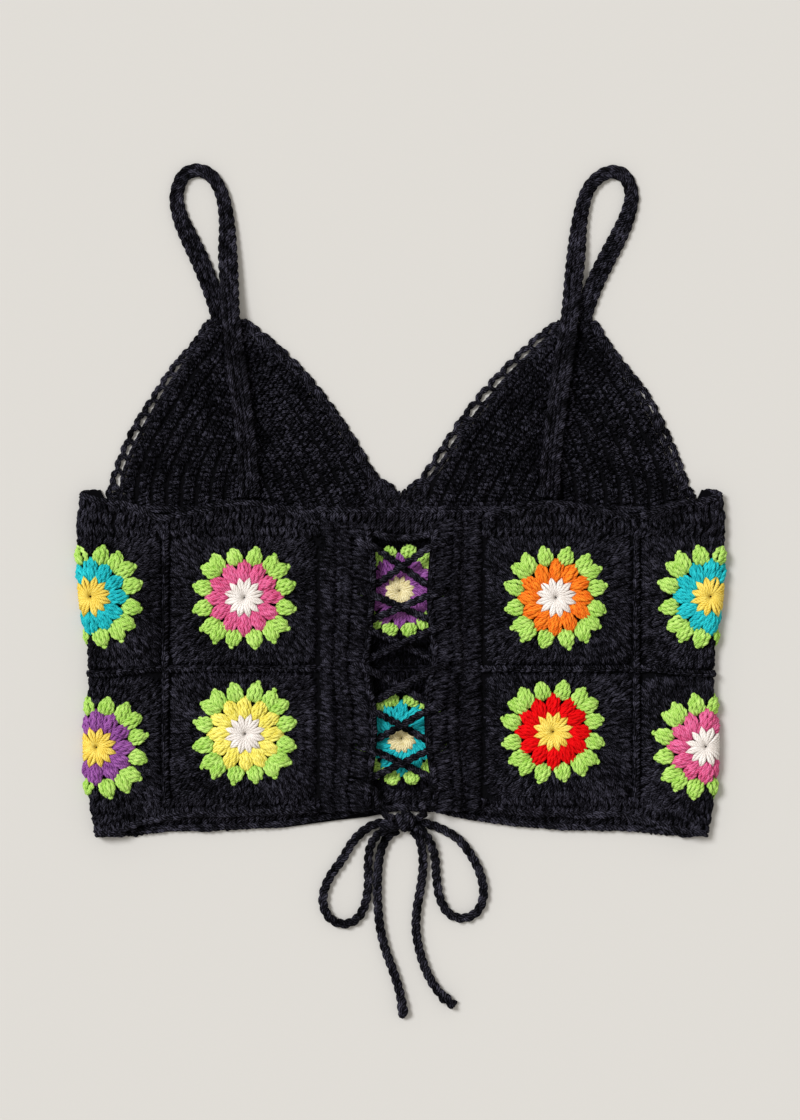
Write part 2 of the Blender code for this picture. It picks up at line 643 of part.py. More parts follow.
def leaves(flower):
    """The ring of leaves round the petals, the pairs at the corners a little longer."""
    name, part = flower[0], flower[-1]
    sections = []
    for i, angle in enumerate(flower_angles(LEAVES, part)):
        crest = i % 2 == 1
        corner = CORNER_LEAF * abs(math.sin(2 * angle)) ** 3
        section = [flower_point(flower, angle, LEAF_SECTION[0][0], 0)]
        for j, (far, near, high, low) in enumerate(LEAF_SECTION):
            radius = (far if crest else near) + corner * j / 2
            section.append(flower_point(flower, angle, radius, high if crest else low))
        tip = (LEAF_SECTION[-1][0] if crest else LEAF_SECTION[-1][1]) + corner
        section.append(flower_point(flower, angle, tip, 0))
        sections.append(section)
    loft(f"leaves_{name}", np.array(sections), "green", part in ROUND_PARTS)


def cord(name, points, radius, swell=()):
    """A round cord through its points, thicker at the last ones where a swell is given."""
    data = bpy.data.curves.new(name, "CURVE")
    data.dimensions = "3D"
    data.bevel_depth = radius * MM
    data.bevel_resolution = 2
    data.use_fill_caps = True
    spline = data.splines.new("POLY")
    spline.points.add(len(points) - 1)
    for i, point in enumerate(points):
        spline.points[i].co = (*(MM * float(value) for value in point), 1)
        after_start = i - (len(points) - len(swell))
        spline.points[i].radius = swell[after_start] if after_start >= 0 else 1
    data.materials.append(yarn("black"))
    TOP.objects.link(bpy.data.objects.new(name, data))


def wrap(side, y):
    """Points of the cord as it comes up through a slot and turns back over the edge strip."""
    x = WRAP_X + abs(look_up(GAP, side, y)) - GAP_X
    middle, reach = (LACE_LOW + LACE_HIGH) / 2, (LACE_HIGH - LACE_LOW) / 2
    under = (side * (x - STRIP_REACH), y + STRIP_SLANT, LACE_LOW)
    over = (side * (x - STRIP_REACH), y - STRIP_SLANT, LACE_HIGH)
    turn = []
    for degrees in (-90, -30, 30, 90):
        angle = math.radians(degrees)
        out, up = reach * math.cos(angle), reach * math.sin(angle)
        turn.append((side * (x + out), y - degrees / 90, middle + up))
    return [under, *turn, over]


def crossing(start, end, lift):
    """The points of one step over the gap, bent up or down where the other half crosses it."""
    points = []
    for share, part in ((0.25, 0.75), (0.5, 1), (0.75, 0.75)):
        x, y, z = (a + (b - a) * share for a, b in zip(start, end))
        points.append((x, y, z + lift * part))
    return points


def lacing(side):
    """One half of the lacing, from its slot at the top down to the knot."""
    column = 0 if side < 0 else 1
    points = wrap(side, SLOT_Y[0])
    for step, y in enumerate(SLOT_Y[1:]):
        side_of_lift = 1 if (step + column) % 2 else -1
        side = -side
        arrival = wrap(side, y)
        points += crossing(points[-1], arrival[0], CROSS_LIFT * side_of_lift) + arrival
    column = 0 if side < 0 else 1
    return points + [(row[column], row[2], row[3]) for row in LACE_END]


def lacing_cords():
    """The first half carries the strand that sags between the two upper slots."""
    left, right = lacing(-1), lacing(1)
    under, turn = np.array(right[0]), np.array(right[1])
    meeting = (under + turn) / 2
    short = meeting + (under - turn) / np.linalg.norm(under - turn) * SEAM_GAP
    cord("lacing_from_left", [short, under, *LACE_SAG, *left], CORD_RADIUS)
    cord("lacing_from_right", [meeting, *right[1:]], CORD_RADIUS)


def bow_knot():
    """The knot of the bow: a flattened ball with one strand raised over it."""
    mesh = bpy.data.meshes.new("bow_knot")
    work = bmesh.new()
    bmesh.ops.create_uvsphere(work, u_segments=14, v_segments=8, radius=1.0)
    for vertex in work.verts:
        x, y, z = vertex.co
        strand = 1 + KNOT_STRAND * math.exp(-(x / 0.35) ** 2)
        vertex.co = (
            MM * (KNOT_CENTRE[0] + KNOT_RADII[0] * x),
            MM * (KNOT_CENTRE[1] + KNOT_RADII[1] * y),
            MM * max(KNOT_CENTRE[2] + KNOT_RADII[2] * z * strand, KNOT_FLOOR),
        )
    work.to_mesh(mesh)
    work.free()
    mesh.materials.append(yarn("black"))
    TOP.objects.link(bpy.data.objects.new("bow_knot", mesh))


def bow():
    bow_knot()
    for side_name in SIDES:
        cord(f"bow_loop_{side_name}", BOW_LOOPS[side_name], BOW_RADIUS)
        cord(f"bow_tail_{side_name}", BOW_TAILS[side_name], BOW_RADIUS, (END_KNOT_SWELL, END_KNOT_SWELL))


def build():
    for side_name in SIDES:
        for row in ROWS:
            back_square(side_name, row)
            side_square(side_name, row)
        side_band(side_name)
        side_hem(side_name)
        placket(side_name)
        cup(side_name)
        cup_edgings(side_name)
        strap(side_name)
    front_squares()
    front_band()
    front_hem()
    for flower in FLOWERS:
        bloom(flower)
        leaves(flower)
    lacing_cords()
    bow()


clear_scene()
TOP = garment_collection()
build()
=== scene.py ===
"""The crochet top dressed in yarn: every stitch that shows is made of its own strands.

Each region is laid out flat, as points (along, across, lift) in millimetres, and a place function puts
them on the cloth. Under the strands lies a dark cloth with the form of the solids, a little smaller; it is
darker than the yarn, as painted shade in the gaps between the strands.
"""
import math

import bmesh
import bpy
import numpy as np
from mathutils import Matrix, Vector
from mathutils.bvhtree import BVHTree


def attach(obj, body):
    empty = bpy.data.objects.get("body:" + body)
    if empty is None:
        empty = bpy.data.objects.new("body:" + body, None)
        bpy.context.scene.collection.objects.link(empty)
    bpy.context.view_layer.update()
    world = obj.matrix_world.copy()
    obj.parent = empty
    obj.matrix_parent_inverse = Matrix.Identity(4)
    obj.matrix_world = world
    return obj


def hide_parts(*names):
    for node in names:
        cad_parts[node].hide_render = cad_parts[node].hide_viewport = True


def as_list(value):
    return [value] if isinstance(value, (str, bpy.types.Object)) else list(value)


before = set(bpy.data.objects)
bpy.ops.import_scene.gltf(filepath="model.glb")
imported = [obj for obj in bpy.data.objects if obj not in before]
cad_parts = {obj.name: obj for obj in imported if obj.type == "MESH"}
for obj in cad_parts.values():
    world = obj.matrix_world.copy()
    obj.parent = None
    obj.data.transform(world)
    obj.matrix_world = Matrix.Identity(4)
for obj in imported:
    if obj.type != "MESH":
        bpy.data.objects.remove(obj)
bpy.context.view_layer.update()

MM = 0.001
RNG = np.random.default_rng(11)
UP = np.array((0.0, 0.0, 1.0))
SIDES = {"left": -1, "right": 1}

# How far the dark cloth lies inside the solids
INSET = 0.8

# Heights of the layers, as in the model
SEAM_GAP = 0.3
FRONT_WALL = 2.6
BACK_FLOOR = 3.1
BACK_WALL = 2.8
FOLD_FLOOR = 4.6
FOLD_ROUND = 5.0
FOLD_BEND = 14.4
# Where the fold begins, by the distance along the cloth
FOLD_START = 194 - FOLD_ROUND
SEAM_RIDGE = 0.6

# Cross seams of the body: Y, and how far they drop at the folds
BAND_SEAM = (-22.0, 0.0)
MIDDLE_SEAM = (-104.3, 3.0)
HEM_SEAM = (-185.3, 11.0)
SIDE_SLOPE_X = (156, 180)
ROWS = {"upper": (MIDDLE_SEAM, BAND_SEAM), "lower": (HEM_SEAM, MIDDLE_SEAM)}

# Past this distance round the fold the strands are pressed on the ground and made plainer
UNDER_FROM = 206.0

# The stitches of a band end so far inside the cloth's edge
EDGE_ROOM = 1.0

PLACKET_X = 50.0
BACK_SEAM_X = 146.0
FRONT_SEAM_X = 155.5
FRONT_CENTRE_X = 52.0
CUP_BASE_Y = -5.6
SQUARE_WIDTH = 97.0

# Lacing
CORD_RADIUS = 2.1
LACE_LOW = 6.4
STRIP_WALL = 2.2
STRIP_FLOOR = LACE_LOW + CORD_RADIUS + SEAM_GAP
LACE_HIGH = STRIP_FLOOR + STRIP_WALL + SEAM_GAP + CORD_RADIUS
GAP_X = 16.6
SLOT_X = (22.6, 29.6)
WRAP_X = 23.6
SLOT_Y = (-25.5, -55.5, -77.2, -101.4, -127.4, -151.6, -175.2)
CROSS_LIFT = 2.5
STRIP_REACH = 8.8
STRIP_SLANT = 4.4
LACE_SAG = ((10, -22.6, 6.6), (0, -23.4, 6.8), (-10, -22.6, 6.6))
LACE_END = (
    (-13.6, 13.6, -187.5, 11.4), (-13.4, 13.4, -191.4, 8.8), (-9.1, 14.1, -194.9, 7.4),
    (-5.1, 10.1, -197.0, 6.9),
)

# Bow
BOW_RADIUS = 2.5
BOW_Z = 2.6
KNOT_CENTRE = (2.5, -198.6, 5.3)

# The outer fold of each side: y, left x, right x
FOLD = (
    (10, -194, 194), (4, -197.8, 197.8), (-11, -200.4, 200.4), (-26, -200.0, 200.0), (-47, -198.3, 198.1),
    (-93, -193.4, 193.8), (-117, -193.1, 193.4), (-140, -194.4, 194.4), (-173, -194.1, 194.1),
    (-195, -191.6, 192.2), (-209, -188.5, 188.5),
)

# Upper and lower edge of the back: distance from the middle, left y, right y
BACK_TOP = (
    (15, -17.7, -17.7), (34, -14.9, -13.3), (50, -11.5, -9.9), (63, -6.5, -5.2), (78, -2.2, -1.8),
    (94, 0.2, -0.3), (109, -0.2, -1.7), (122, -3.4, -4.6), (133, -5.6, -7.4), (145, -9.6, -8.9),
    (153, -8.7, -7.2), (162, -4.3, -3.2), (172, -0.9, -0.4), (185, 0.7, 0.7), (198, 3.4, 3.4),
)
BACK_HEM = (
    (15, -190.7, -190.7), (50, -193.1, -192.5), (81, -194.7, -195.6), (112, -195.6, -196.6),
    (137, -196.5, -195.8), (151, -198.7, -200.0), (166, -202.4, -204.0), (177, -207.6, -206.6),
    (189, -208.0, -208.0),
)

# Upper and lower edge of the front: distance from the middle, left y, right y
FRONT_HEM = (
    (0, -192.0, -192.0), (12, -194.6, -193.2), (21, -196.4, -192.8), (40, -198.5, -197.4),
    (73, -203.1, -202.2), (104, -204.0, -204.4), (142, -205.5, -205.1), (160, -206.2, -206.4),
    (177, -209.2, -208.6), (189, -208.4, -208.6),
)
FRONT_TOP = ((150, -5.9, -5.9), (174, -5.9, -5.9), (183, -1.5, -1.5), (187, 6.6, 6.6), (194, 5.6, 5.6),
             (198, 3.4, 3.4))

# Inner edge of each band beside the lacing: y, left x, right x
GAP = (
    (-18, -18.4, 18.6), (-29, -16.1, 18.0), (-46, -14.9, 16.7), (-62, -16.1, 16.1), (-83, -18.0, 17.4),
    (-98, -19.6, 19.2), (-111, -18.2, 15.5), (-127, -15.4, 14.4), (-142, -14.4, 14.3), (-158, -15.8, 16.1),
    (-170, -17.4, 18.0), (-183, -18.6, 19.0), (-191, -16.7, 18.0),
)

# Cups, apex to base. Each row: armhole edge x, y, then neckline edge x, y
CUPS = {
    "left": (
        (-115.9, 112.2, -101.2, 112.2), (-122.1, 100.8, -86.2, 95.8), (-133.3, 85.9, -68.8, 80.9),
        (-145.7, 67.3, -52.1, 62.9), (-158.1, 46.8, -37.8, 42.5), (-167.4, 28.2, -24.2, 20.8),
        (-172.6, 11.5, -11.0, 5.0), (-172.8, CUP_BASE_Y, -0.3, CUP_BASE_Y),
    ),
    "right": (
        (117.2, 111.4, 102.3, 111.4), (123.4, 98.3, 91.1, 99.5), (136.4, 80.3, 74.0, 82.6),
        (148.8, 62.3, 55.6, 62.3), (158.1, 45.0, 39.5, 41.5), (165.5, 28.2, 26.4, 22.6),
        (172.0, 10.8, 13.0, 5.4), (172.8, CUP_BASE_Y, 0.3, CUP_BASE_Y),
    ),
}
ARMHOLE_LINE = {
    "left": ((-119.9, 112.6), (-129, 98.3), (-142.3, 83.4), (-155.3, 64.2), (-167.6, 44.6), (-177.1, 22.6),
             (-181.4, 9.6)),
    "right": ((121.2, 111.8), (129.4, 98.3), (142.0, 81.7), (153.9, 66.7), (164.3, 46.8), (171.9, 29.4),
              (179.0, 10.6)),
}
NECK_LINE = {
    "left": ((-97.0, 112.6), (-80.0, 100.4), (-64.2, 85.6), (-50.8, 69.8), (-38.1, 52.6), (-25.4, 33.6),
             (-14.6, 15.2), (-0.25, 7.4)),
    "right": ((98.0, 111.8), (84.9, 103.2), (66.7, 86.4), (48.5, 67.2), (34.3, 48.3), (20.5, 27.6),
              (10.4, 13.2), (0.25, 7.4)),
}
EYELETS = 12
EDGING_GAP = 0.45
# The slits beside the loops, armhole and neckline: their size from 0 to 1, and the share left open
EDGING_SLITS = {"left": ((0.75, 1.0), (0.1, 0.0)), "right": ((0.15, 0.5), (0.2, 0.9))}
NECK_END_Y = 0.6

# Straps: x, y, z of the underside, width
STRAPS = {
    "left": (
        (-93.9, 1.2, 3.8, 10.5), (-94.7, 20, 5.9, 9.6), (-96.6, 45, 7.1, 9.4), (-101, 78, 7.1, 9.2),
        (-104.6, 108, 6.4, 9.6), (-106.2, 130, 3.6, 11.8), (-107.4, 152, 2.0, 12.2), (-108.2, 174, 0.4, 9.4),
        (-111.4, 191, 0, 7.8), (-118.2, 202.2, 0, 7.6), (-127.6, 205.4, 0, 7.6), (-135.6, 201.2, 0, 7.8),
        (-139.5, 189, 0, 8.2), (-137.2, 176, 0, 9.6), (-131.5, 163, 0, 11.4), (-124.2, 147.5, 0, 11.8),
        (-117.8, 131, 0, 11.4), (-113.8, 118, 0, 10.8), (-113.0, 113.3, 0, 10.6),
    ),
    "right": (
        (92.1, 1.0, 3.8, 10.5), (92.8, 20, 5.9, 9.6), (95.0, 45, 7.1, 9.4), (99.4, 78, 7.1, 9.2),
        (103.8, 108, 6.4, 9.6), (106.6, 131, 3.6, 11.6), (108.8, 152, 2.0, 11.8), (111.2, 174, 0.4, 9.4),
        (115.6, 191.4, 0, 7.8), (122.6, 200.6, 0, 7.6), (131.6, 204.4, 0, 7.6), (139.4, 201.2, 0, 7.8),
        (143.3, 190, 0, 8.2), (140.6, 177, 0, 9.6), (135.0, 164, 0, 11.2), (127.2, 149, 0, 11.6),
        (119.6, 133, 0, 11.4), (114.4, 118, 0, 10.8), (113.5, 112.6, 0, 10.6),
    ),
}

# Flowers: distance along the cloth, y, petals, star
BACK_FLOWERS = {
    "back_left_upper": (97.0, -60.2, "pink", "white"),
    "back_left_lower": (96.5, -144.6, "pale_yellow", "white"),
    "back_right_upper": (96.0, -60.2, "orange", "white"),
    "back_right_lower": (94.2, -143.2, "red", "yellow"),
    "side_left_upper": (192.0, -59.6, "teal", "yellow"),
    "side_left_lower": (188.4, -152.8, "purple", "yellow"),
    "side_right_upper": (191.6, -59.6, "teal", "yellow"),
    "side_right_lower": (188.6, -152.4, "pink", "white"),
}
# The inner face of the front: name, centre x, y, petals, star
INSIDE_FLOWERS = (
    ("front_centre_upper", -0.8, -56.1, "purple", "cream"),
    ("front_centre_lower", 0.4, -147.6, "teal", "cream"),
)
# The outside of the front, on the ground: square, centre x, petals, star
UNDER_FLOWERS = (
    ("left_upper", -103.5, "orange", "white"), ("centre_upper", -0.8, "purple", "cream"),
    ("right_upper", 103.5, "pink", "yellow"), ("left_lower", -103.5, "red", "white"),
    ("centre_lower", 0.4, "teal", "cream"), ("right_lower", 103.5, "pale_yellow", "white"),
)

# Free ends of the cord, from the knot outwards: x, y, and z where it isn't BOW_Z
BOW_LOOPS = {
    "left": (
        (-3.9, -199.9, 2.9), (-15.5, -200.9), (-23.6, -205.5), (-30.2, -212.5),
        (-36.6, -223.0), (-43.4, -232.6), (-47.6, -242.0), (-48.2, -251.0),
        (-44.2, -259.3), (-36.0, -263.0), (-27.8, -260.0), (-22.6, -251.5),
        (-20.4, -239.0), (-20.4, -226.0), (-18.9, -214.5, 4.2), (-13.5, -206.3, 7.2),
        (-4.6, -201.9, 8.3),
    ),
    "right": (
        (9.0, -199.6, 2.9), (16.7, -200.8), (26.0, -204.3), (36.0, -210.6),
        (44.6, -221.9), (50.0, -234.1), (51.2, -246.2), (46.8, -255.9),
        (37.8, -259.5), (29.2, -256.0), (24.0, -246.4), (22.0, -234.1),
        (21.2, -222.5), (18.3, -212.5, 4.4), (14.0, -205.8, 7.4), (9.8, -202.2, 8.3),
    ),
}
BOW_TAILS = {
    "left": (
        (-2.1, -204.6, 3.4), (-7.4, -207.8, 2.8), (-11.8, -215.6), (-13.9, -226.0),
        (-14.5, -238.4), (-14.3, -250.8), (-12.9, -265.1), (-9.7, -278.7),
        (-5.0, -291.7), (-0.9, -304.7), (1.0, -315.0, 3.2), (1.3, -321.6, 3.2),
    ),
    "right": (
        (6.6, -204.8, 3.4), (10.9, -208.9, 2.8), (13.3, -217.7), (13.7, -229.1),
        (12.1, -241.5), (10.0, -253.7), (9.5, -267.5), (12.4, -282.6),
        (17.2, -295.3), (22.9, -304.4), (28.4, -309.8, 3.2), (33.0, -313.6, 3.2),
    ),
}

# Base colour of each yarn
YARNS = {
    "black": (0.0082, 0.0080, 0.0115),
    # A darker copy of the black yarn: painted shade on the inner face seen through the lacing
    "painted_shade_black": (0.0030, 0.0029, 0.0044),
    "green": (0.49, 0.765, 0.15),
    "pink": (0.77, 0.127, 0.32),
    "teal": (0.012, 0.56, 0.62),
    "purple": (0.32, 0.085, 0.375),
    "orange": (0.92, 0.215, 0.0095),
    "red": (0.81, 0.0003, 0.0012),
    "pale_yellow": (0.94, 0.855, 0.168),
    "white": (0.905, 0.86, 0.82),
    "yellow": (0.92, 0.72, 0.115),
    "cream": (0.86, 0.77, 0.45),
}

# Look of a yarn: specular level, sheen, and how far its fuzz stands out
DARK_LOOK = (0.025, 0.005, 4.0)
BRIGHT_LOOK = (0.09, 0.04, 1.5)
# Shades of the black yarns, from painted shade to painted highlight on the plies, with random tone: place on
# the ramp, and how many times the base colour
DARK_STOPS = ((0.7, 0.05), (0.8, 1.0), (1.0, 9.5))
# Places on the ramp of the coloured yarns, from a deep painted shade to a pale painted highlight
BRIGHT_STOPS = (0.585, 0.945)
BUMP_STRENGTH = 0.6

# Chains of stitches: width over all, pitch, lift, radius of a leg
SEAM_CHAIN = (5.0, 3.5, 2.5, 1.2)
CROSS_SEAM_CHAIN = (5.0, 3.5, 2.4, 1.15)
EDGE_CHAIN = (4.6, 3.9, 1.6, 1.25)
PLACKET_CHAIN = (4.8, 3.6, 1.2, 1.2)
GAP_CHAIN = (4.8, 3.7, 1.0, 1.1)
FRONT_CHAIN = (4.6, 4.0, 1.2, 1.2)
HEM_CHAIN = (4.8, 4.2, 1.2, 1.3)
CUP_UNDER_CHAIN = (8.6, 6.4, 0.8, 1.2)
CUP_PEBBLES = (8.8, 2.5, 2.3, 1.12)
# How unevenly the larger chains lie
UNEVEN = 0.25

# A tall stitch: radius of a ply, how far its plies lie apart, their turns, and how unevenly it stands
POST_RADIUS = 0.78
POST_PLY_GAP = 0.58
POST_TURNS = 0.6
POST_JITTER = 0.42
POST_PITCH = 3.9

# Rounds of a square: where they start, their height, and how square their corners are
ROUNDS_START = 25.0
ROUND_HEIGHT = 7.2
CORNER_POWER = 14
# Room for the seams of a square: below and above it, and at its sides
SEAM_ROOM = {"upper": (2.9, 0.4), "lower": (0.4, 2.8)}
SIDE_ROOM = 3.0

# One strand of a star from the centre outwards: radius, height, angle off its spike, thickness
STAR = (
    (0.7, 1.5, 7.5, 0.35), (2.4, 2.9, 7.5, 0.62), (4.4, 3.3, 7.5, 1.0), (6.6, 3.3, 7.5, 1.25),
    (8.9, 3.2, 6.7, 1.32), (10.6, 3.1, 4.0, 0.95), (12.8, 2.8, 0.4, 0.26),
)
PETAL_COUNT = 12
PETAL_TURN = 360 // PETAL_COUNT
# Petals end at the same radius; those of the outer face start further out
PETAL_START = 8.8
PETAL_START_INNER = 6.8
PETAL_END = 23.6
STAR_SHARE_INNER = 0.78
# Petal and leaf: half width, height, radius of a strand, width at five places along it
PETAL_SHAPE = (3.2, 3.2, 1.38, (0.2, 0.7, 0.97, 0.97, 0.5))
LEAF_SHAPE = (3.7, 3.1, 1.42, (0.5, 1, 1, 0.8, 0.36))
CLUSTER_STRANDS = 4


def unit(vectors):
    return vectors / np.maximum(np.linalg.norm(vectors, axis=-1, keepdims=True), 1e-9)


def smooth_path(rows, steps):
    """A Catmull-Rom curve through the rows of a table, with so many steps from one row to the next."""
    rows = np.array(rows, float)
    padded = np.vstack([2 * rows[0] - rows[1], rows, 2 * rows[-1] - rows[-2]])
    out = []
    for a, b, c, d in zip(padded, padded[1:], padded[2:], padded[3:]):
        for t in np.arange(steps) / steps:
            out.append(0.5 * (2 * b + (c - a) * t + (2 * a - 5 * b + 4 * c - d) * t**2
                              + (3 * b - a - 3 * c + d) * t**3))
    out.append(rows[-1])
    return np.array(out)


def flat(x, y):
    """Flat points from two coordinates, of which one may be a single number."""
    return np.column_stack(np.broadcast_arrays(x, y))


def direction(angle):
    return np.array((math.cos(angle), math.sin(angle)))


def show(piece):
    bpy.context.scene.collection.objects.link(piece)


def lengths_along(line):
    return np.concatenate([[0], np.cumsum(np.linalg.norm(np.diff(line, axis=0), axis=1))])


def resample(line, shares):
    """Points at the given shares of a line's length."""
    lengths = lengths_along(line)
    at = np.array(shares) * lengths[-1]
    return np.stack([np.interp(at, lengths, line[:, axis]) for axis in range(line.shape[1])], axis=1)


def look_up(table, side, key):
    """The value of a table with a left and a right column at one y or one distance from the middle."""
    rows = sorted(table)
    return np.interp(key, [row[0] for row in rows], [row[1 if side < 0 else 2] for row in rows])


# Materials

def new_material(name, roughness):
    """A material with its nodes, links and shader."""
    material = bpy.data.materials.new(name)
    material.use_nodes = True
    nodes, links = material.node_tree.nodes, material.node_tree.links
    shader = nodes["Principled BSDF"]
    shader.inputs["Roughness"].default_value = roughness
    return material, nodes, links, shader


def noise(nodes, links, where, scale, detail):
    node = nodes.new("ShaderNodeTexNoise")
    node.inputs["Scale"].default_value = scale
    node.inputs["Detail"].default_value = detail
    links.new(where, node.inputs["Vector"])
    return node.outputs["Fac"]


def colour_by(nodes, links, factor, stops, shader):
    """The base colour by a factor, from the place and the colour of each stop."""
    ramp = nodes.new("ShaderNodeValToRGB")
    first, last = ramp.color_ramp.elements
    first.position, last.position = stops[0][0], stops[-1][0]
    first.color, last.color = (*stops[0][1], 1), (*stops[-1][1], 1)
    for at, colour in stops[1:-1]:
        ramp.color_ramp.elements.new(at).color = (*colour, 1)
    links.new(factor, ramp.inputs[0])
    links.new(ramp.outputs[0], shader.inputs["Base Color"])


def relief(nodes, links, height, depth, shader):
    bump = nodes.new("ShaderNodeBump")
    bump.inputs["Strength"].default_value = BUMP_STRENGTH
    bump.inputs["Distance"].default_value = depth
    links.new(height, bump.inputs["Height"])
    links.new(bump.outputs[0], shader.inputs["Normal"])


def yarn_material(name):
    """Cotton yarn: twisted plies and fibres along each strand, with soft random changes of tone, a painted
    highlight on the ply ridges and painted shade in their grooves.
    """
    if f"{name}_yarn" in bpy.data.materials:
        return bpy.data.materials[f"{name}_yarn"]
    colour = YARNS[name]
    dark = name in ("black", "painted_shade_black")
    gloss, sheen, fuzz = DARK_LOOK if dark else BRIGHT_LOOK
    material, nodes, links, shader = new_material(f"{name}_yarn", 0.7)
    shader.inputs["Specular IOR Level"].default_value = gloss
    shader.inputs["Sheen Weight"].default_value = sheen
    shader.inputs["Sheen Roughness"].default_value = 0.4
    shader.inputs["Sheen Tint"].default_value = (0.6, 0.6, 0.8, 1) if dark else (*colour, 1)

    strand = nodes.new("ShaderNodeUVMap")
    strand.uv_map = "yarn"
    parts = nodes.new("ShaderNodeSeparateXYZ")
    links.new(strand.outputs["UV"], parts.inputs[0])
    length, girth = parts.outputs[0], parts.outputs[1]
    place = nodes.new("ShaderNodeTexCoord").outputs["Object"]

    def maths(kind, a, b=None):
        node = nodes.new("ShaderNodeMath")
        node.operation = kind
        for socket, value in zip(node.inputs, (a, b)):
            if isinstance(value, (int, float)):
                socket.default_value = value
            elif value is not None:
                links.new(value, socket)
        return node.outputs[0]

    def joined(x, y=None):
        node = nodes.new("ShaderNodeCombineXYZ")
        for socket, value in zip(node.inputs, (x, y)):
            if value is not None:
                links.new(value, socket)
        return node.outputs[0]

    # Plies wind round the strand: three ridges that turn once in 4 mm
    along = maths("MULTIPLY", length, 0.25)
    phase = maths("MULTIPLY", maths("ADD", along, maths("MULTIPLY", girth, 2.0)), 2 * math.pi)
    ply = maths("ABSOLUTE", maths("SINE", phase))
    # Fibres run with the plies
    stretched = joined(maths("MULTIPLY", length, 0.35), maths("MULTIPLY", maths("ADD", along, girth), 5.0))
    fibres = noise(nodes, links, stretched, 1.6, 3)
    # Slow changes of shade over the cloth, and fuzz in grains of about two millimetres
    patches = noise(nodes, links, place, 60, 4)
    grain = noise(nodes, links, place, 420, 2)
    # Each strand has its own shade, for each starts at its own place along the noise
    strands = noise(nodes, links, joined(maths("MULTIPLY", length, 0.13)), 1.0, 1)

    shade = maths("MULTIPLY", ply, 0.2)
    for pattern, weight in ((fibres, 0.35), (patches, 0.2), (strands, 0.52), (grain, 0.2)):
        shade = maths("ADD", shade, maths("MULTIPLY", pattern, weight))
    # Higher values are paler and lower ones deeper: a painted highlight on the ply ridges and painted shade
    # in their grooves, with random tone from the noises
    if dark:
        stops = [(at, [times * value for value in colour]) for at, times in DARK_STOPS]
    else:
        deep = [(0.3 + 0.4 * value) * value**1.3 for value in colour]
        stops = list(zip(BRIGHT_STOPS, (deep, [value**0.8 for value in colour])))
    colour_by(nodes, links, shade, stops, shader)
    height = maths("ADD", ply, maths("MULTIPLY", fibres, 0.8))
    height = maths("ADD", height, maths("MULTIPLY", grain, fuzz))
    relief(nodes, links, height, 0.0003, shader)
    return material


def cloth_material():
    """The ground between the strands: near black like the yarn, and darker than it as painted shade in the
    gaps, with a fine fibre noise.
    """
    material, nodes, links, shader = new_material("dark_ground", 0.95)
    shader.inputs["Specular IOR Level"].default_value = 0.03
    place = nodes.new("ShaderNodeTexCoord").outputs["Object"]
    fibres = noise(nodes, links, place, 900, 3)
    colour_by(nodes, links, fibres, ((0, (0.001, 0.001, 0.0015)), (1, (0.004, 0.004, 0.005))), shader)
    relief(nodes, links, fibres, 0.0004, shader)
    return material


# Strands

def as_given(points):
    return points


class Knit:
    """Strands of yarn that become one mesh; place lays flat points on the cloth."""

    def __init__(self, place=as_given, sides=5):
        self.place, self.sides = place, sides
        self.points, self.quads, self.caps, self.quad_uv, self.cap_uv = [], [], [], [], []
        self.count = 0

    def add(self, paths, radius, up=None):
        """A tube round each path, given flat unless the direction up from it is given too."""
        centre = np.asarray(paths, float)
        if up is None:
            lifted = self.place(centre + UP)
            centre = self.place(centre)
            up = unit(lifted - centre)
        strands, steps = centre.shape[:2]
        sides = self.sides
        along = unit(np.gradient(centre, axis=1))
        across = unit(np.cross(along, up))
        normal = np.cross(across, along)
        radius = np.broadcast_to(radius, (strands, steps))[..., None, None]
        angle = 2 * np.pi * (np.arange(sides) + 0.5) / sides
        ring = centre[:, :, None] + radius * (np.cos(angle)[:, None] * across[:, :, None]
                                              + np.sin(angle)[:, None] * normal[:, :, None])
        ring[..., 2] = np.maximum(ring[..., 2], 0.0)
        self.points.append(ring.reshape(-1, 3))

        start = self.count + sides * steps * np.arange(strands)[:, None, None]
        row = sides * np.arange(steps - 1)[None, :, None]
        k = np.arange(sides)[None, None, :]
        after = (k + 1) % sides
        base = start + row
        quads = np.stack([base + k, base + sides + k, base + sides + after, base + after], axis=-1)
        self.quads.append(quads.reshape(-1, 4))
        first = start[:, 0] + np.arange(sides)[None]
        last = start[:, 0] + sides * (steps - 1) + np.arange(sides)[None, ::-1]
        self.caps.append(np.concatenate([first, last]))
        self.count += strands * steps * sides

        gone = np.linalg.norm(np.diff(centre, axis=1), axis=2)
        u = np.concatenate([np.zeros((strands, 1)), np.cumsum(gone, axis=1)], axis=1)
        u += RNG.uniform(0, 40, (strands, 1))
        low, high, v = (np.broadcast_to(value, quads.shape[:3])
                        for value in (u[:, :-1, None], u[:, 1:, None], k / sides))
        w = v + 1 / sides
        corners = ((low, v), (high, v), (high, w), (low, w))
        uv = np.stack([np.stack(corner, axis=-1) for corner in corners], axis=3)
        self.quad_uv.append(uv.reshape(-1, 2))
        ends = np.stack([np.concatenate([u[:, 0], u[:, -1]]), np.full(2 * strands, 0.5)], axis=-1)
        self.cap_uv.append(np.repeat(ends, sides, axis=0))

    def make(self, name, yarn):
        """The piece, with its yarn."""
        mesh = bpy.data.meshes.new(name)
        faces = np.concatenate(self.quads).tolist() + np.concatenate(self.caps).tolist()
        mesh.from_pydata((MM * np.concatenate(self.points)).tolist(), [], faces)
        layer = mesh.uv_layers.new(name="yarn")
        layer.data.foreach_set("uv", np.concatenate(self.quad_uv + self.cap_uv).ravel())
        mesh.shade_smooth()
        return finish_piece(bpy.data.objects.new(name, mesh), yarn)


def finish_piece(piece, yarn):
    show(piece)
    piece.data.materials.append(yarn_material(yarn))
    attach(piece, "root")
    return piece


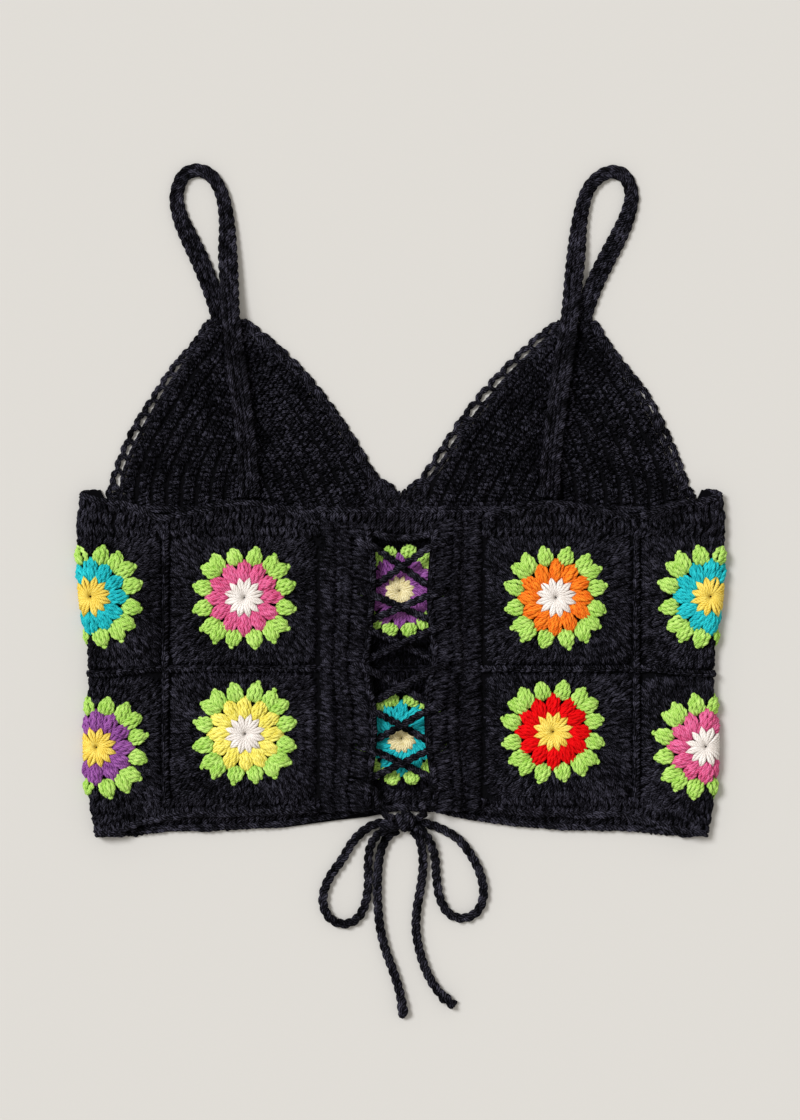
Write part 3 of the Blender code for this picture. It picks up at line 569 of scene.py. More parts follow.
def plies(lines, gap, turns, count=2, phase=0.0):
    """So many plies wound round each flat line."""
    lines = np.asarray(lines, float)
    along = unit(np.gradient(lines, axis=1))
    across = unit(np.cross(along, UP))
    normal = np.cross(across, along)
    share = np.linspace(0, 1, lines.shape[1])[None, :]
    out = []
    for i in range(count):
        angle = 2 * np.pi * (i / count + turns * share + phase)
        out.append(lines + gap * (np.cos(angle)[..., None] * across + np.sin(angle)[..., None] * normal))
    return np.concatenate(out)


def posts(knit, low, high, width, lift=0.9, steps=4, count=2):
    """A row of tall stitches from low to high points: two legs each, that part towards the top."""
    share = np.linspace(-0.05, 1.05, steps)[None, :, None]
    along = unit(high - low)
    across = np.column_stack([-along[:, 1], along[:, 0]])[:, None]
    rise = lift * np.sin(np.pi * np.clip(share[0, :, 0] * 0.84 + 0.08, 0, 1)) ** 0.7
    taper = np.interp(share[0, :, 0], (0, 0.3, 0.8, 1), (0.75, 1, 1.05, 0.85)) * POST_RADIUS * width
    for sign in (-1, 1):
        jitter = RNG.normal(0, POST_JITTER, (2, len(low), 1, 2))
        spread = sign * width * np.interp(share[..., 0], (0, 1), (0.4, 1.4))[..., None] * across
        wander = jitter[0] * (1 - share) + jitter[1] * share
        lines = low[:, None] + (high - low)[:, None] * share + wander + spread
        heights = rise[None] * RNG.uniform(0.6, 1.3, (len(low), 1)) + 0.1
        lines = np.concatenate([lines, heights[..., None]], axis=2)
        phase = RNG.uniform(-0.15, 0.15, (len(low), 1)) + 0.12
        if count == 1:
            knit.add(lines, 1.35 * taper)
        else:
            knit.add(plies(lines, POST_PLY_GAP * width, sign * POST_TURNS, count, phase), taper)


# One leg of a chain's link, and of a seam's bump: along, across, height, thickness
LINK = (
    (-0.1, 0.1, -0.3, 0.72), (0.4, 0.75, 0.8, 1), (0.8, 1, 1, 1.06), (1.2, 0.75, 0.6, 0.95),
    (1.55, 0.2, -0.3, 0.68),
)
BUMP = ((0.6, -0.35, 0.5, 0.75), (0.4, 0.3, 1.0, 1.06), (0.0, 0.85, 0.9, 1.06), (-0.4, 1.08, -0.2, 0.75))


def chain(knit, line, width, pitch, lift, radius, rough=0.1, link=LINK, stagger=0.0):
    """Links along a flat line, width over all: two fat legs each, like the letter V."""
    line = np.asarray(line, float)
    if line.shape[1] == 2:
        line = np.column_stack([line, np.zeros(len(line))])
    total = lengths_along(line)[-1]
    count = max(2, round(total / pitch))
    pitch = total / count
    ahead, aside, above, thick = np.array(link).T
    for sign in (-1, 1):
        start = (np.arange(count) + 0.02 + (stagger if sign > 0 else 0)) / count
        start = start[start < 0.999]
        here = resample(line, start)
        there = resample(line, np.minimum(start + 0.5 / count, 1))
        along = unit(there - here + 1e-9)
        across = np.cross(along, UP)
        out = sign * (width / 2 - radius)
        legs = (here[:, None] + pitch * along[:, None] * ahead[:, None]
                + out * across[:, None] * aside[:, None] + UP * lift * above[:, None])
        legs = legs + RNG.normal(0, rough, (len(here), 1, 3))
        knit.add(legs, radius * RNG.uniform(0.85, 1.15, (len(here), 1)) * thick)


def pebbles(knit, line, width, pitch, lift, radius):
    """A rib of small uneven bumps, three abreast: short strands that lie across it at all angles."""
    total = lengths_along(line)[-1]
    count = max(2, round(total / pitch))
    for column, aside in enumerate((-0.23, 0.0, 0.23)):
        shares = (np.arange(count) + 0.2 + 0.3 * column + RNG.uniform(-0.2, 0.2, count)) / count
        shares = np.clip(shares, 0.001, 0.99)
        here, there = resample(line, shares), resample(line, shares + 0.01)
        along = unit(there - here)
        across = np.column_stack([along[:, 1], -along[:, 0]])
        lean = RNG.normal(0.25 - 0.5 * (column == 2), 0.55, (count, 1))
        heading = np.cos(lean) * across + np.sin(lean) * along
        middle = here + across * aside * width + RNG.normal(0, 0.25, (count, 2))
        reach = RNG.uniform(0.12, 0.17, (count, 1)) * width
        rise = lift * (1 - 1.7 * abs(aside)) * RNG.uniform(0.7, 1.2, count)
        ends = [np.column_stack([middle + sign * reach * heading, rise * part])
                for sign, part in ((-1, 0.1), (0, 1), (1, 0.1))]
        thick = radius * RNG.uniform(0.8, 1.2, (count, 1)) * np.array((0.75, 1.1, 0.75))
        knit.add(np.stack(ends, axis=1), thick)


# Where the cloth is

def fold_x(side, y):
    return abs(look_up(FOLD, side, y))


def back_floor(x):
    """Inside height of the back: raised over the lacing and at the folds."""
    return np.interp(x, (SLOT_X[1], PLACKET_X - 3, 150, 188),
                     (STRIP_FLOOR, BACK_FLOOR, BACK_FLOOR, FOLD_FLOOR))


def seam_y(seam, x):
    """Height of a cross seam: the side squares hang lower towards the folds."""
    level, drop = seam
    return level - drop * np.interp(x, SIDE_SLOPE_X, (0, 1))


def square_share(value, low, high):
    return 2 * (value - low) / (high - low) - 1


def back_height(x, y):
    """Outside height of the back: each square is a low dome inside a groove and a seam ridge."""
    hem, middle, band = (seam_y(seam, x) for seam in (HEM_SEAM, MIDDLE_SEAM, BAND_SEAM))
    v = np.where(y > middle, square_share(y, middle, band), square_share(y, hem, middle))
    u = np.where(x < BACK_SEAM_X, square_share(x, PLACKET_X, BACK_SEAM_X),
                 square_share(x, BACK_SEAM_X, BACK_SEAM_X + SQUARE_WIDTH))
    dome = np.interp(np.maximum(abs(u), abs(v)), (0, 0.86, 0.95, 1), (1.3, 0.9, 0, SEAM_RIDGE))
    in_band = (y > band) | (y < hem)
    return back_floor(x) + BACK_WALL + np.where(in_band, SEAM_RIDGE, dome)


def pressed(lift):
    """Height of a strand below the cloth, on the ground: pressed to half its lift."""
    return np.maximum(INSET - 0.5 * lift, 0.3)


def on_back(side):
    """The outside of the tube: from the middle of the back round the fold and on along the front."""
    def place(points):
        s, y, lift = points[..., 0], points[..., 1], points[..., 2] - INSET
        edge = fold_x(side, y) - FOLD_ROUND
        top = back_height(np.minimum(s, edge), y)
        turn = np.pi * np.clip((s - edge) / FOLD_BEND, 0, 1)
        x = np.where(s <= edge, s, edge + (FOLD_ROUND + lift) * np.sin(turn))
        z = np.where(s <= edge, top + lift, top / 2 + (top / 2 + lift) * np.cos(turn))
        front = s > edge + FOLD_BEND
        x = np.where(front, edge - (s - edge - FOLD_BEND), x)
        z = np.where(front, pressed(lift + INSET), z)
        return np.stack([side * x, y, z], axis=-1)
    return place


def inside_front(points):
    """The inner face of the front, seen through the lacing."""
    return points + (0, 0, FRONT_WALL - INSET)


def under_front(points):
    """The outer face of the front, pressed flat on the ground."""
    return np.stack([-points[..., 0], points[..., 1], pressed(points[..., 2])], axis=-1)


def on_placket(side):
    """The outside of the ribbed band beside the lacing, by its distance from the middle."""
    xs = (GAP_X, SLOT_X[0], SLOT_X[1], 33, 38.5, 44.5, PLACKET_X)
    walls = (STRIP_WALL, STRIP_WALL, STRIP_WALL, 3.6, 2.5, 4.0, 3.1)

    def place(points):
        s, y, lift = points[..., 0], points[..., 1], points[..., 2] - INSET
        shift = (abs(look_up(GAP, side, y)) - GAP_X) * np.interp(s, (SLOT_X[1], PLACKET_X), (1, 0))
        return np.stack([side * (s + shift), y, back_floor(s) + np.interp(s, xs, walls) + lift], axis=-1)
    return place


def on_strap(side_name, top=True):
    """A strap by the length along it and the share of its width across it, and its whole length."""
    line = smooth_path(STRAPS[side_name], 16)
    line[:, 2] = np.maximum(line[:, 2], 0)
    lengths = lengths_along(line[:, :2])
    along = unit(np.gradient(line[:, :2], axis=0))

    def place(points):
        s, across, lift = points[..., 0], points[..., 1], points[..., 2]
        x, y, z, width = (np.interp(s, lengths, line[:, i]) for i in range(4))
        ax, ay = (np.interp(s, lengths, along[:, i]) for i in range(2))
        past = np.maximum(s - lengths[-1], 0)
        x, y = x + past * ax, y + past * ay
        share = np.abs(across)
        wall = np.interp(share, (0, 0.27, 0.5), (2.3, 2.9, 2.0))
        height = z + wall - INSET + lift if top else z + pressed(lift)
        return np.stack([x - ay * across * width, y + ax * across * width, height], axis=-1)
    return place, lengths[-1]


def ray_height(node, fallback, below=False):
    """A place function that lays flat points on a CAD node, from above or from below."""
    mesh = bpy.data.objects[node].data
    corners = [tuple(v.co / MM) for v in mesh.vertices]
    tree = BVHTree.FromPolygons(corners, [tuple(p.vertices) for p in mesh.polygons])
    start, down = (-20, 1) if below else (60, -1)

    def height(x, y):
        hit = tree.ray_cast(Vector((x, y, start)), Vector((0, 0, down)))[0]
        return hit.z if hit else fallback

    def place(points):
        found = np.array([height(x, y) for x, y, _ in points.reshape(-1, 3)]).reshape(points.shape[:-1])
        lift = points[..., 2]
        z = found + pressed(lift) if below else found - INSET + lift
        return np.stack([points[..., 0], points[..., 1], z], axis=-1)
    return place


# Camera, floor and light

def camera():
    data = bpy.data.cameras.new("camera")
    data.lens = 85
    view = bpy.data.objects.new("camera", data)
    show(view)
    # The frame is 694.4 mm high at the cloth
    view.location = (-0.0006, -0.0369, 0.006 + 0.6944 * data.lens / data.sensor_width)
    bpy.context.scene.camera = view


def floor():
    mesh = bpy.data.meshes.new("floor")
    reach = 4.0
    corners = [(-reach, -reach, 0), (reach, -reach, 0), (reach, reach, 0), (-reach, reach, 0)]
    mesh.from_pydata(corners, [], [(0, 1, 2, 3)])
    material, _, _, shader = new_material("floor", 0.9)
    shader.inputs["Base Color"].default_value = (0.555, 0.548, 0.528, 1)
    mesh.materials.append(material)
    ground = bpy.data.objects.new("floor", mesh)
    show(ground)


def lights():
    world = bpy.data.worlds.new("world")
    world.use_nodes = True
    background = world.node_tree.nodes["Background"]
    background.inputs["Color"].default_value = (1.0, 0.95, 0.88, 1)
    background.inputs["Strength"].default_value = 0.62
    bpy.context.scene.world = world
    sun = bpy.data.lights.new("sun", "SUN")
    sun.energy = 2.95
    sun.angle = math.radians(22)
    sun.color = (0.99, 0.99, 1.0)
    key = bpy.data.objects.new("sun", sun)
    key.rotation_euler = Vector((-0.62, 0.42, 0.9)).to_track_quat("Z", "Y").to_euler()
    show(key)
    bpy.context.scene.view_settings.view_transform = "Standard"


# Cords

def carried_frame(line):
    """A direction across the line that doesn't turn with it, at each point."""
    along = unit(np.gradient(line, axis=0))
    across = np.cross(along[0], UP)
    out = []
    for step in along:
        across = across - step * np.dot(across, step)
        across = across / np.linalg.norm(across)
        out.append(across)
    return along, np.array(out)


def cord_mesh(name, line, radius, node, lay=16.8, ends=None):
    """A plaited cord of three fat strands along a line, with so many millimetres to a turn."""
    line = np.asarray(line, float)
    steps = max(8, round(lengths_along(line)[-1] / 1.2))
    line = resample(smooth_path(line, 8), np.linspace(0, 1, steps))
    along, across = carried_frame(line)
    normal = np.cross(along, across)
    lengths = lengths_along(line)
    size = np.ones(steps) if ends is None else ends(lengths / lengths[-1])
    knit = Knit(sides=7)
    for i in range(3):
        angle = 2 * np.pi * (i / 3 + lengths / lay)
        sideways = 0.6 * radius * np.sin(angle) * size
        upwards = 0.38 * radius * np.sin(2 * angle) * size
        path = line + sideways[:, None] * across + upwards[:, None] * normal
        swell = 1 - 0.16 * np.cos(2 * angle)
        knit.add(path[None], (0.55 * radius * size * swell)[None], up=normal[None])
    piece = knit.make(name, "black")
    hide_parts(node)
    return piece, line


def free_cord(name, rows, ends=None):
    points = [(*row, BOW_Z)[:3] for row in rows]
    piece, line = cord_mesh(f"{name}_cord", points, BOW_RADIUS, name, ends=ends)
    return piece


def round_end(share):
    """The cord's thickness: it swells before the tip, which is round."""
    tip = np.sqrt(np.clip(1 - ((share - 0.97) / 0.03) ** 2, 0.05, 1))
    return np.where(share > 0.97, tip, 1) * (1 + 0.16 * np.exp(-((share - 0.955) / 0.04) ** 2))


def knotted_end(share):
    """The cord's thickness: a knot and a short cut end behind it."""
    knot = 0.34 * np.exp(-((share - 0.94) / 0.018) ** 2) - 0.22 * np.exp(-((share - 0.965) / 0.012) ** 2)
    return 1 + knot + 0.18 * np.exp(-((share - 0.99) / 0.015) ** 2)


def bow():
    for side_name, ends in zip(SIDES, (round_end, knotted_end)):
        free_cord(f"bow_loop_{side_name}", BOW_LOOPS[side_name])
        free_cord(f"bow_tail_{side_name}", BOW_TAILS[side_name], ends)


def bow_knot():
    """Turns of the cord round the middle of the bow: an upright band over the ends that go in."""
    knit = Knit(sides=6)
    turn = np.linspace(0, 2 * np.pi, 24)
    x, y, z = KNOT_CENTRE
    for offset, tall, high, radius in (
        (0, 6.9, 5.1, 1.4), (1.9, 6.6, 4.8, 1.3), (3.9, 5.6, 4.2, 1.3), (5.4, 4.2, 3.2, 1.15),
    ):
        for side in (-1, 1) if offset else (1,):
            bend = 0.6 * np.sin(2 * turn + offset)
            out = np.column_stack([np.zeros(24), np.cos(turn), np.sin(turn)])
            loop = out * (0, tall - radius, high - radius) + (x + side * offset, y - 0.4, z)
            loop[:, 0] += bend
            knit.add(loop[None], radius, up=out[None])
    piece = knit.make("bow_knot_turns", "black")
    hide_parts("bow_knot")


def wrap(side, y):
    """Points of the cord as it comes up through a slot and turns back over the edge strip."""
    x = WRAP_X + abs(look_up(GAP, side, y)) - GAP_X
    middle, reach = (LACE_LOW + LACE_HIGH) / 2, (LACE_HIGH - LACE_LOW) / 2
    under = (side * (x - STRIP_REACH), y + STRIP_SLANT, LACE_LOW)
    over = (side * (x - STRIP_REACH), y - STRIP_SLANT, LACE_HIGH)
    turn = []
    for degrees in (-90, -30, 30, 90):
        angle = math.radians(degrees)
        out, up = reach * math.cos(angle), reach * math.sin(angle)
        turn.append((side * (x + out), y - degrees / 90, middle + up))
    return [under, *turn, over]


def crossing(start, end, lift):
    """The points of one step over the gap, bent up or down where the other half crosses it."""
    points = []
    for share, part in ((0.25, 0.75), (0.5, 1), (0.75, 0.75)):
        x, y, z = (a + (b - a) * share for a, b in zip(start, end))
        points.append((x, y, z + lift * part))
    return points


def lacing(side):
    """One half of the lacing, from its slot at the top down to the knot."""
    column = 0 if side < 0 else 1
    ends = [(row[column], row[2], row[3]) for row in LACE_END]
    points = wrap(side, SLOT_Y[0])
    for step, y in enumerate(SLOT_Y[1:]):
        side_of_lift = 1 if (step + column) % 2 else -1
        side = -side
        arrival = wrap(side, y)
        points += crossing(points[-1], arrival[0], CROSS_LIFT * side_of_lift) + arrival
    return points + ends


def lacing_cords():
    """The first half carries the strand that sags between the two upper slots."""
    left, right = lacing(-1), lacing(1)
    cord_mesh("lacing_cord_left", [right[0], *LACE_SAG, *left], CORD_RADIUS, "lacing_from_left", lay=14)
    cord_mesh("lacing_cord_right", right, CORD_RADIUS, "lacing_from_right", lay=14)


# Flowers

def polar(centre, angle, radius, lift):
    """Flat points round a flower's centre."""
    return np.stack([centre[0] + radius * np.cos(angle), centre[1] + radius * np.sin(angle),
                     np.broadcast_to(lift, np.shape(angle))], axis=-1)


def star(knit, centre, height, size):
    """A full round of twenty-four strands that meet in twelve spikes between the petals."""
    radius, lift, apart, thick = np.array(STAR).T
    radius, lift = size * radius, height * lift
    for sign in (-1, 1):
        for i in range(PETAL_COUNT):
            spike = PETAL_TURN * (i + 0.5)
            angle = np.radians(spike + sign * apart + RNG.normal(0, 0.9))
            reach = radius * np.interp(radius, (6 * size, 12.6 * size), (1, RNG.uniform(0.95, 1.03)))
            knit.add(polar(centre, angle, reach, lift)[None], thick)


def cluster(knit, base, angle, length, height, shape, twisted, steps):
    """One petal or leaf: strands that part from its base and meet again near its tip."""
    half_width, tall, radius, form = shape
    share = np.linspace(0, 1, steps if twisted else 5)
    belly = np.interp(share, (0, 0.2, 0.5, 0.8, 1), form)
    rise = np.interp(share, (0, 0.2, 0.5, 0.85, 1), (0.3, 0.8, 1, 0.75, 0.25))
    ahead = direction(angle)
    across = np.array((-ahead[1], ahead[0]))
    lines = []
    for i in range(CLUSTER_STRANDS):
        place = 2 * i / (CLUSTER_STRANDS - 1) - 1
        off = half_width * place * belly + RNG.normal(0, 0.15)
        out = length * share * (1 - 0.06 * place**2)
        spots = base + out[:, None] * ahead + off[:, None] * across
        lift = tall * height * rise * (1 - 0.35 * place**2) + 0.15 + RNG.normal(0, 0.15)
        lines.append(np.column_stack([spots, lift]))
    lines = np.array(lines)
    thick = radius * np.interp(share, (0, 0.3, 0.75, 1), (0.72, 1, 1, 0.72))
    if twisted:
        phase = RNG.uniform(0, 1, (CLUSTER_STRANDS, 1))
        knit.add(plies(lines, 0.5 * radius, -1.4, 2, phase), 0.8 * thick)
    else:
        knit.add(lines, thick)


def petals(knit, centre, height, twisted, inner):
    start = PETAL_START_INNER if inner else PETAL_START
    for i in range(PETAL_COUNT):
        angle = math.radians(PETAL_TURN * i) + RNG.normal(0, 0.02)
        length = PETAL_END - start + RNG.normal(0, 0.35)
        cluster(knit, centre + start * direction(angle), angle, length, height, PETAL_SHAPE, twisted, 8)


def leaf_places():
    """Two leaves beside each axis and a joined pair at each corner: angle and radius of the base,
    direction, length."""
    out = []
    for quarter in range(4):
        axis = 90 * quarter
        out += [(axis - 14, 20.7, axis - 15.5, 11.0), (axis + 14, 20.7, axis + 15.5, 11.0)]
        out += [(axis + 43, 20.9, axis + 22, 12.4), (axis + 47, 20.9, axis + 68, 12.4)]
    return out


def leaves(knit, centre, height, twisted, inner):
    """Leaves with a nub at each tip; those on the inner face have none and are shorter."""
    for degrees, radius, turned, length in leaf_places():
        angle = math.radians(degrees + RNG.normal(0, 0.8))
        turned = math.radians(turned + RNG.normal(0, 2.5))
        base = centre + radius * direction(angle)
        length = length - (2.6 if inner else 0) + RNG.normal(0, 0.35)
        cluster(knit, base, turned, length, height, LEAF_SHAPE, twisted, 7)
        if inner:
            continue
        nub = base + (length - 0.2) * direction(turned) + RNG.normal(0, 0.35, 2)
        turn = np.linspace(-0.5 * np.pi, 1.3 * np.pi, 7) + turned
        knit.add(polar(nub, turn, 0.9, 1.5 * height)[None], 1.05)


def flower(name, centre, petal_yarn, star_yarn, place, height=1.0, twisted=True, nodes=True, inner=False):
    """The three yarns of one flower."""
    made = []
    for part, yarn, build in (("bloom", petal_yarn, petals), ("leaves", "green", leaves)):
        knit = Knit(place)
        build(knit, centre, height, twisted, inner)
        piece = knit.make(f"{part}_{name}_yarn", yarn)
        if nodes:
            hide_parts(f"{part}_{name}")
        made.append(piece)
    knit = Knit(place)
    star(knit, centre, height, STAR_SHARE_INNER if inner else 1.0)
    made.append(knit.make(f"star_{name}_yarn", star_yarn))
    return made


# Squares

def square_rounds(knit, centre, low, high, left, right, fine, pitch=POST_PITCH, lift=0.95, reach=math.inf,
                  steps=4):
    """Rounds of tall stitches from the leaves out to a square's edges, twisted where fine says."""
    turn = np.linspace(0, 2 * np.pi, 721)
    cos, sin = np.cos(turn), np.sin(turn)
    wide = np.where(cos > 0, right - centre[0], centre[0] - left)
    tall = np.where(sin > 0, high - centre[1], centre[1] - low)
    squareness = (np.abs(cos) / wide) ** CORNER_POWER + (np.abs(sin) / tall) ** CORNER_POWER
    edge = squareness ** (-1 / CORNER_POWER)
    room = edge - ROUNDS_START
    rounds = np.clip(np.round(room / ROUND_HEIGHT), 2, 4)
    for i in range(4):
        near = ROUNDS_START + room * np.minimum(i / rounds, 1)
        far = ROUNDS_START + room * np.minimum((i + 1) / rounds, 1)
        middle = (near + far) / 2
        lengths = lengths_along(np.column_stack([middle * cos, middle * sin]))
        number = round(lengths[-1] / pitch)
        at = np.interp(lengths[-1] * (np.arange(number) + 0.5) / number, lengths, turn)
        at = at[np.interp(at, turn, rounds) > i + 0.5]
        start, end = (polar(centre, at, np.interp(at, turn, bound), 0)[:, :2] for bound in (near, far))
        kept = np.abs(start[:, 0]) < reach
        start, end = start[kept], end[kept]
        twisted = (start[:, 0] > fine[0]) & (start[:, 0] < fine[1])
        for choice, count in ((twisted, 2), (~twisted, 1)):
            if choice.any():
                posts(knit, start[choice], end[choice], 1.0, lift=lift, count=count, steps=steps)


def back_squares(side_name):
    """The squares of one half of the back, the outer ones round the fold, with their seams."""
    place = on_back(SIDES[side_name])
    made = []
    # Name, left and right seam, and where the height of its cross seams is taken
    columns = (("back", PLACKET_X, BACK_SEAM_X, 150), ("side", BACK_SEAM_X, BACK_SEAM_X + SQUARE_WIDTH, 176))
    for row, (room_below, room_above) in SEAM_ROOM.items():
        for column, left, right, seam_s in columns:
            name = f"{column}_{side_name}_{row}"
            s, y, petal_yarn, star_yarn = BACK_FLOWERS[name]
            low, high = (seam_y(seam, seam_s) for seam in ROWS[row])
            knit = Knit(place)
            square_rounds(knit, (s, y), low + room_below, high - room_above,
                          left + SIDE_ROOM, right - SIDE_ROOM, (0, UNDER_FROM))
            if column == "back":
                chain(knit, ((right, high), (right, low)), *SEAM_CHAIN, UNEVEN, BUMP)
            if row == "upper":
                xs = np.linspace(left, right, 24)
                chain(knit, flat(xs, seam_y(MIDDLE_SEAM, xs)), *CROSS_SEAM_CHAIN, UNEVEN, BUMP)
            made.append(knit.make(f"stitches_{name}", "black"))
            made += flower(name, (s, y), petal_yarn, star_yarn, place)
    return made


def inside_squares():
    """The inner face of the front, as far as it shows through the lacing and at the neckline."""
    made = []
    knit = Knit(inside_front)
    half = FRONT_CENTRE_X - 2
    for name, x, y, petal_yarn, star_yarn in INSIDE_FLOWERS:
        low, high = (seam[0] for seam in ROWS[name.rsplit("_", 1)[1]])
        square_rounds(knit, (x, y), low + 1.5, high - 1.5, -half, half, (-18, 18), lift=0.4, reach=30)
        chain(knit, ((-36, low), (36, low)), *GAP_CHAIN)
        made += flower(name, (x, y), petal_yarn, star_yarn, inside_front, 0.6, inner=True)
    # The stitches seen through the gap take the darker copy of the black yarn: painted shade
    made.append(knit.make("stitches_inside_gap", "painted_shade_black"))
    knit = Knit(inside_front)
    band = BAND_SEAM[0]
    xs = np.arange(-70, 70.1, POST_PITCH)
    for start, end in ((band + 0.5, band + 8.5), (band + 8, CUP_BASE_Y - 0.5)):
        posts(knit, flat(xs, start), flat(xs + 0.8, end), 1.0, count=1)
    chain(knit, ((-174.0, CUP_BASE_Y), (174.0, CUP_BASE_Y)), *FRONT_CHAIN)
    # Short stitches fill the foot of the neckline, where the two cups meet
    foot = np.arange(-18.0, 15.1, 3.0)
    tops = np.interp(abs(foot), (0, 9, 12, 18), (6.2, 6.2, 7.0, 12.6))
    middle = (CUP_BASE_Y + tops) / 2
    for start, end in ((CUP_BASE_Y, middle), (middle - 0.5, tops)):
        posts(knit, flat(foot, start), flat(1.04 * foot + 0.6, end), 1.0, count=1)
    # The front's hem shows below the back's
    xs = np.arange(-181, 181.1, 4.2)
    hem = look_up(FRONT_HEM, 1, abs(xs))
    posts(knit, flat(xs, hem + 3), flat(xs + 1.2, hem + 12), 1.2, count=1)
    chain(knit, flat(xs, hem + 1.6), *HEM_CHAIN, UNEVEN)
    made.append(knit.make("stitches_inside", "black"))
    return made


def under_squares():
    """The outside of the front, which lies on the ground: plainer, with fewer stitches."""
    made = []
    knit = Knit(under_front, sides=4)
    for name, x, petal_yarn, star_yarn in UNDER_FLOWERS:
        low, high = (seam[0] for seam in ROWS[name.rsplit("_", 1)[1]])
        y = (low + high) / 2 + 2
        central = name.startswith("centre")
        half = FRONT_CENTRE_X if central else (FRONT_SEAM_X - FRONT_CENTRE_X) / 2
        middle = 0 if central else x + math.copysign(0.25, x)
        square_rounds(knit, (x, y), low + 1, high - 1, middle - half + 1, middle + half - 1, (0, 0),
                      pitch=5.0, lift=0.8, steps=3)
        made += flower(f"under_{name}", (x, y), petal_yarn, star_yarn, under_front, 0.5, False, False)
    xs = np.arange(-FRONT_SEAM_X, FRONT_SEAM_X, 4.4)
    for bottom, top in ((BAND_SEAM[0], CUP_BASE_Y), (look_up(FRONT_HEM, 1, abs(xs)), HEM_SEAM[0])):
        middle = (bottom + top) / 2
        for start, end in ((bottom, middle), (middle, top)):
            posts(knit, flat(xs, start), flat(xs, end), 1.2, count=1, steps=3)
    made.append(knit.make("stitches_under", "black"))
    return made


# Bands

def band_rows(knit, bottom, top, xs, rows, chain_at):
    """Rows of tall stitches between two edges, with a chain along one of them."""
    for i in range(rows):
        lean = (1.6, -1.2)[i % 2] + RNG.normal(0, 0.8, len(xs))
        start = flat(xs + 1.9 * (i % 2), bottom + (top - bottom) * i / rows)
        end = flat(start[:, 0] + lean, bottom + (top - bottom) * (i + 1) / rows)
        for choice, count in ((xs < UNDER_FROM, 2), (xs >= UNDER_FROM, 1)):
            posts(knit, start[choice], end[choice], 1.0, lift=1.15, count=count)
    edge = {"top": top - 0.5, "bottom": bottom + 0.5}[chain_at]
    chain(knit, flat(xs, edge), *EDGE_CHAIN, UNEVEN)


def edge_of(front_table, back_table, side, s):
    """An edge of the tube by the distance along it: the back's, and past the fold the front's."""
    bent = s - FOLD_START
    on_front = FOLD_START - (bent - FOLD_BEND)
    back = look_up(back_table, side, s)
    front = look_up(front_table, side, on_front)
    between = back + (front - back) * bent / FOLD_BEND
    return np.where(bent < 0, back, np.where(bent > FOLD_BEND, front, between))


def bands(side_name):
    """The stitches of the top band and of the hem, from the lacing round the fold to the front's seam."""
    side = SIDES[side_name]
    whole = 2 * FOLD_START + FOLD_BEND
    made = []
    for name, pitch, rows in (("top", 4.4, 3), ("hem", POST_PITCH, 2)):
        xs = np.arange(PLACKET_X + 1.5, whole - FRONT_SEAM_X, pitch)
        level_s = np.minimum(xs, whole - xs)
        knit = Knit(on_back(side))
        if name == "top":
            edge = edge_of(FRONT_TOP, BACK_TOP, side, xs) - EDGE_ROOM
            band_rows(knit, seam_y(BAND_SEAM, level_s) - 0.3, edge, xs, rows, "top")
        else:
            edge = edge_of(FRONT_HEM, BACK_HEM, side, xs) + EDGE_ROOM
            band_rows(knit, edge, seam_y(HEM_SEAM, level_s) + 0.6, xs, rows, "bottom")
        made.append(knit.make(f"stitches_{name}_{side_name}", "black"))
    return made


# Pitch of the bars between the slots
BAR_PITCH = 3.1
# Columns of a placket's stitches: start and end across it, slope, lift
PLACKET_COLUMNS = (
    (20.9, 30.4, 2.2, 0.9), (31.4, 36.2, 1.6, 2.3), (36.6, 40.6, 1.4, -0.2), (41.0, 49.0, 2.4, 2.2),
)


def placket(side_name):
    """The ribbed band: an edge chain, bars between the slots, a raised rib, a groove and a braid."""
    side = SIDES[side_name]
    knit = Knit(on_placket(side))
    top, bottom = look_up(BACK_TOP, side, 30), look_up(BACK_HEM, side, 30)
    chain(knit, ((18.9, top - 1), (18.9, bottom + 1)), *PLACKET_CHAIN, 0.3, BUMP)
    gaps = (top + 3, *SLOT_Y, bottom - 3)
    ladder = []
    for above, below in zip(gaps, gaps[1:]):
        number = max(2, round((above - below - 2 * BAR_PITCH) / BAR_PITCH) + 1)
        ladder.append(np.linspace(above - BAR_PITCH, below + BAR_PITCH, number))
    for start, end, slope, lift in PLACKET_COLUMNS:
        middle = (start + end) / 2
        low, high = look_up(BACK_HEM, side, middle) + 1.2, look_up(BACK_TOP, side, middle) - 1.0
        heights = np.linspace(low, high, round((high - low) / 3.2) + 1)
        if start < SLOT_X[1]:
            heights = np.concatenate(ladder)
        posts(knit, flat(start, heights - slope / 2), flat(end, heights + slope / 2), 0.9, lift=lift)
    return knit.make(f"stitches_placket_{side_name}", "black")


# Cups

def cup_edges(side_name):
    line = smooth_path(CUPS[side_name], 6)
    shares = np.linspace(0, 1, 60)
    return resample(line[:, :2], shares), resample(line[:, 2:], shares)


def strap_x(side_name, y):
    rows = sorted((row[1], row[0]) for row in STRAPS[side_name][:5])
    return np.interp(y, [row[0] for row in rows], [row[1] for row in rows])


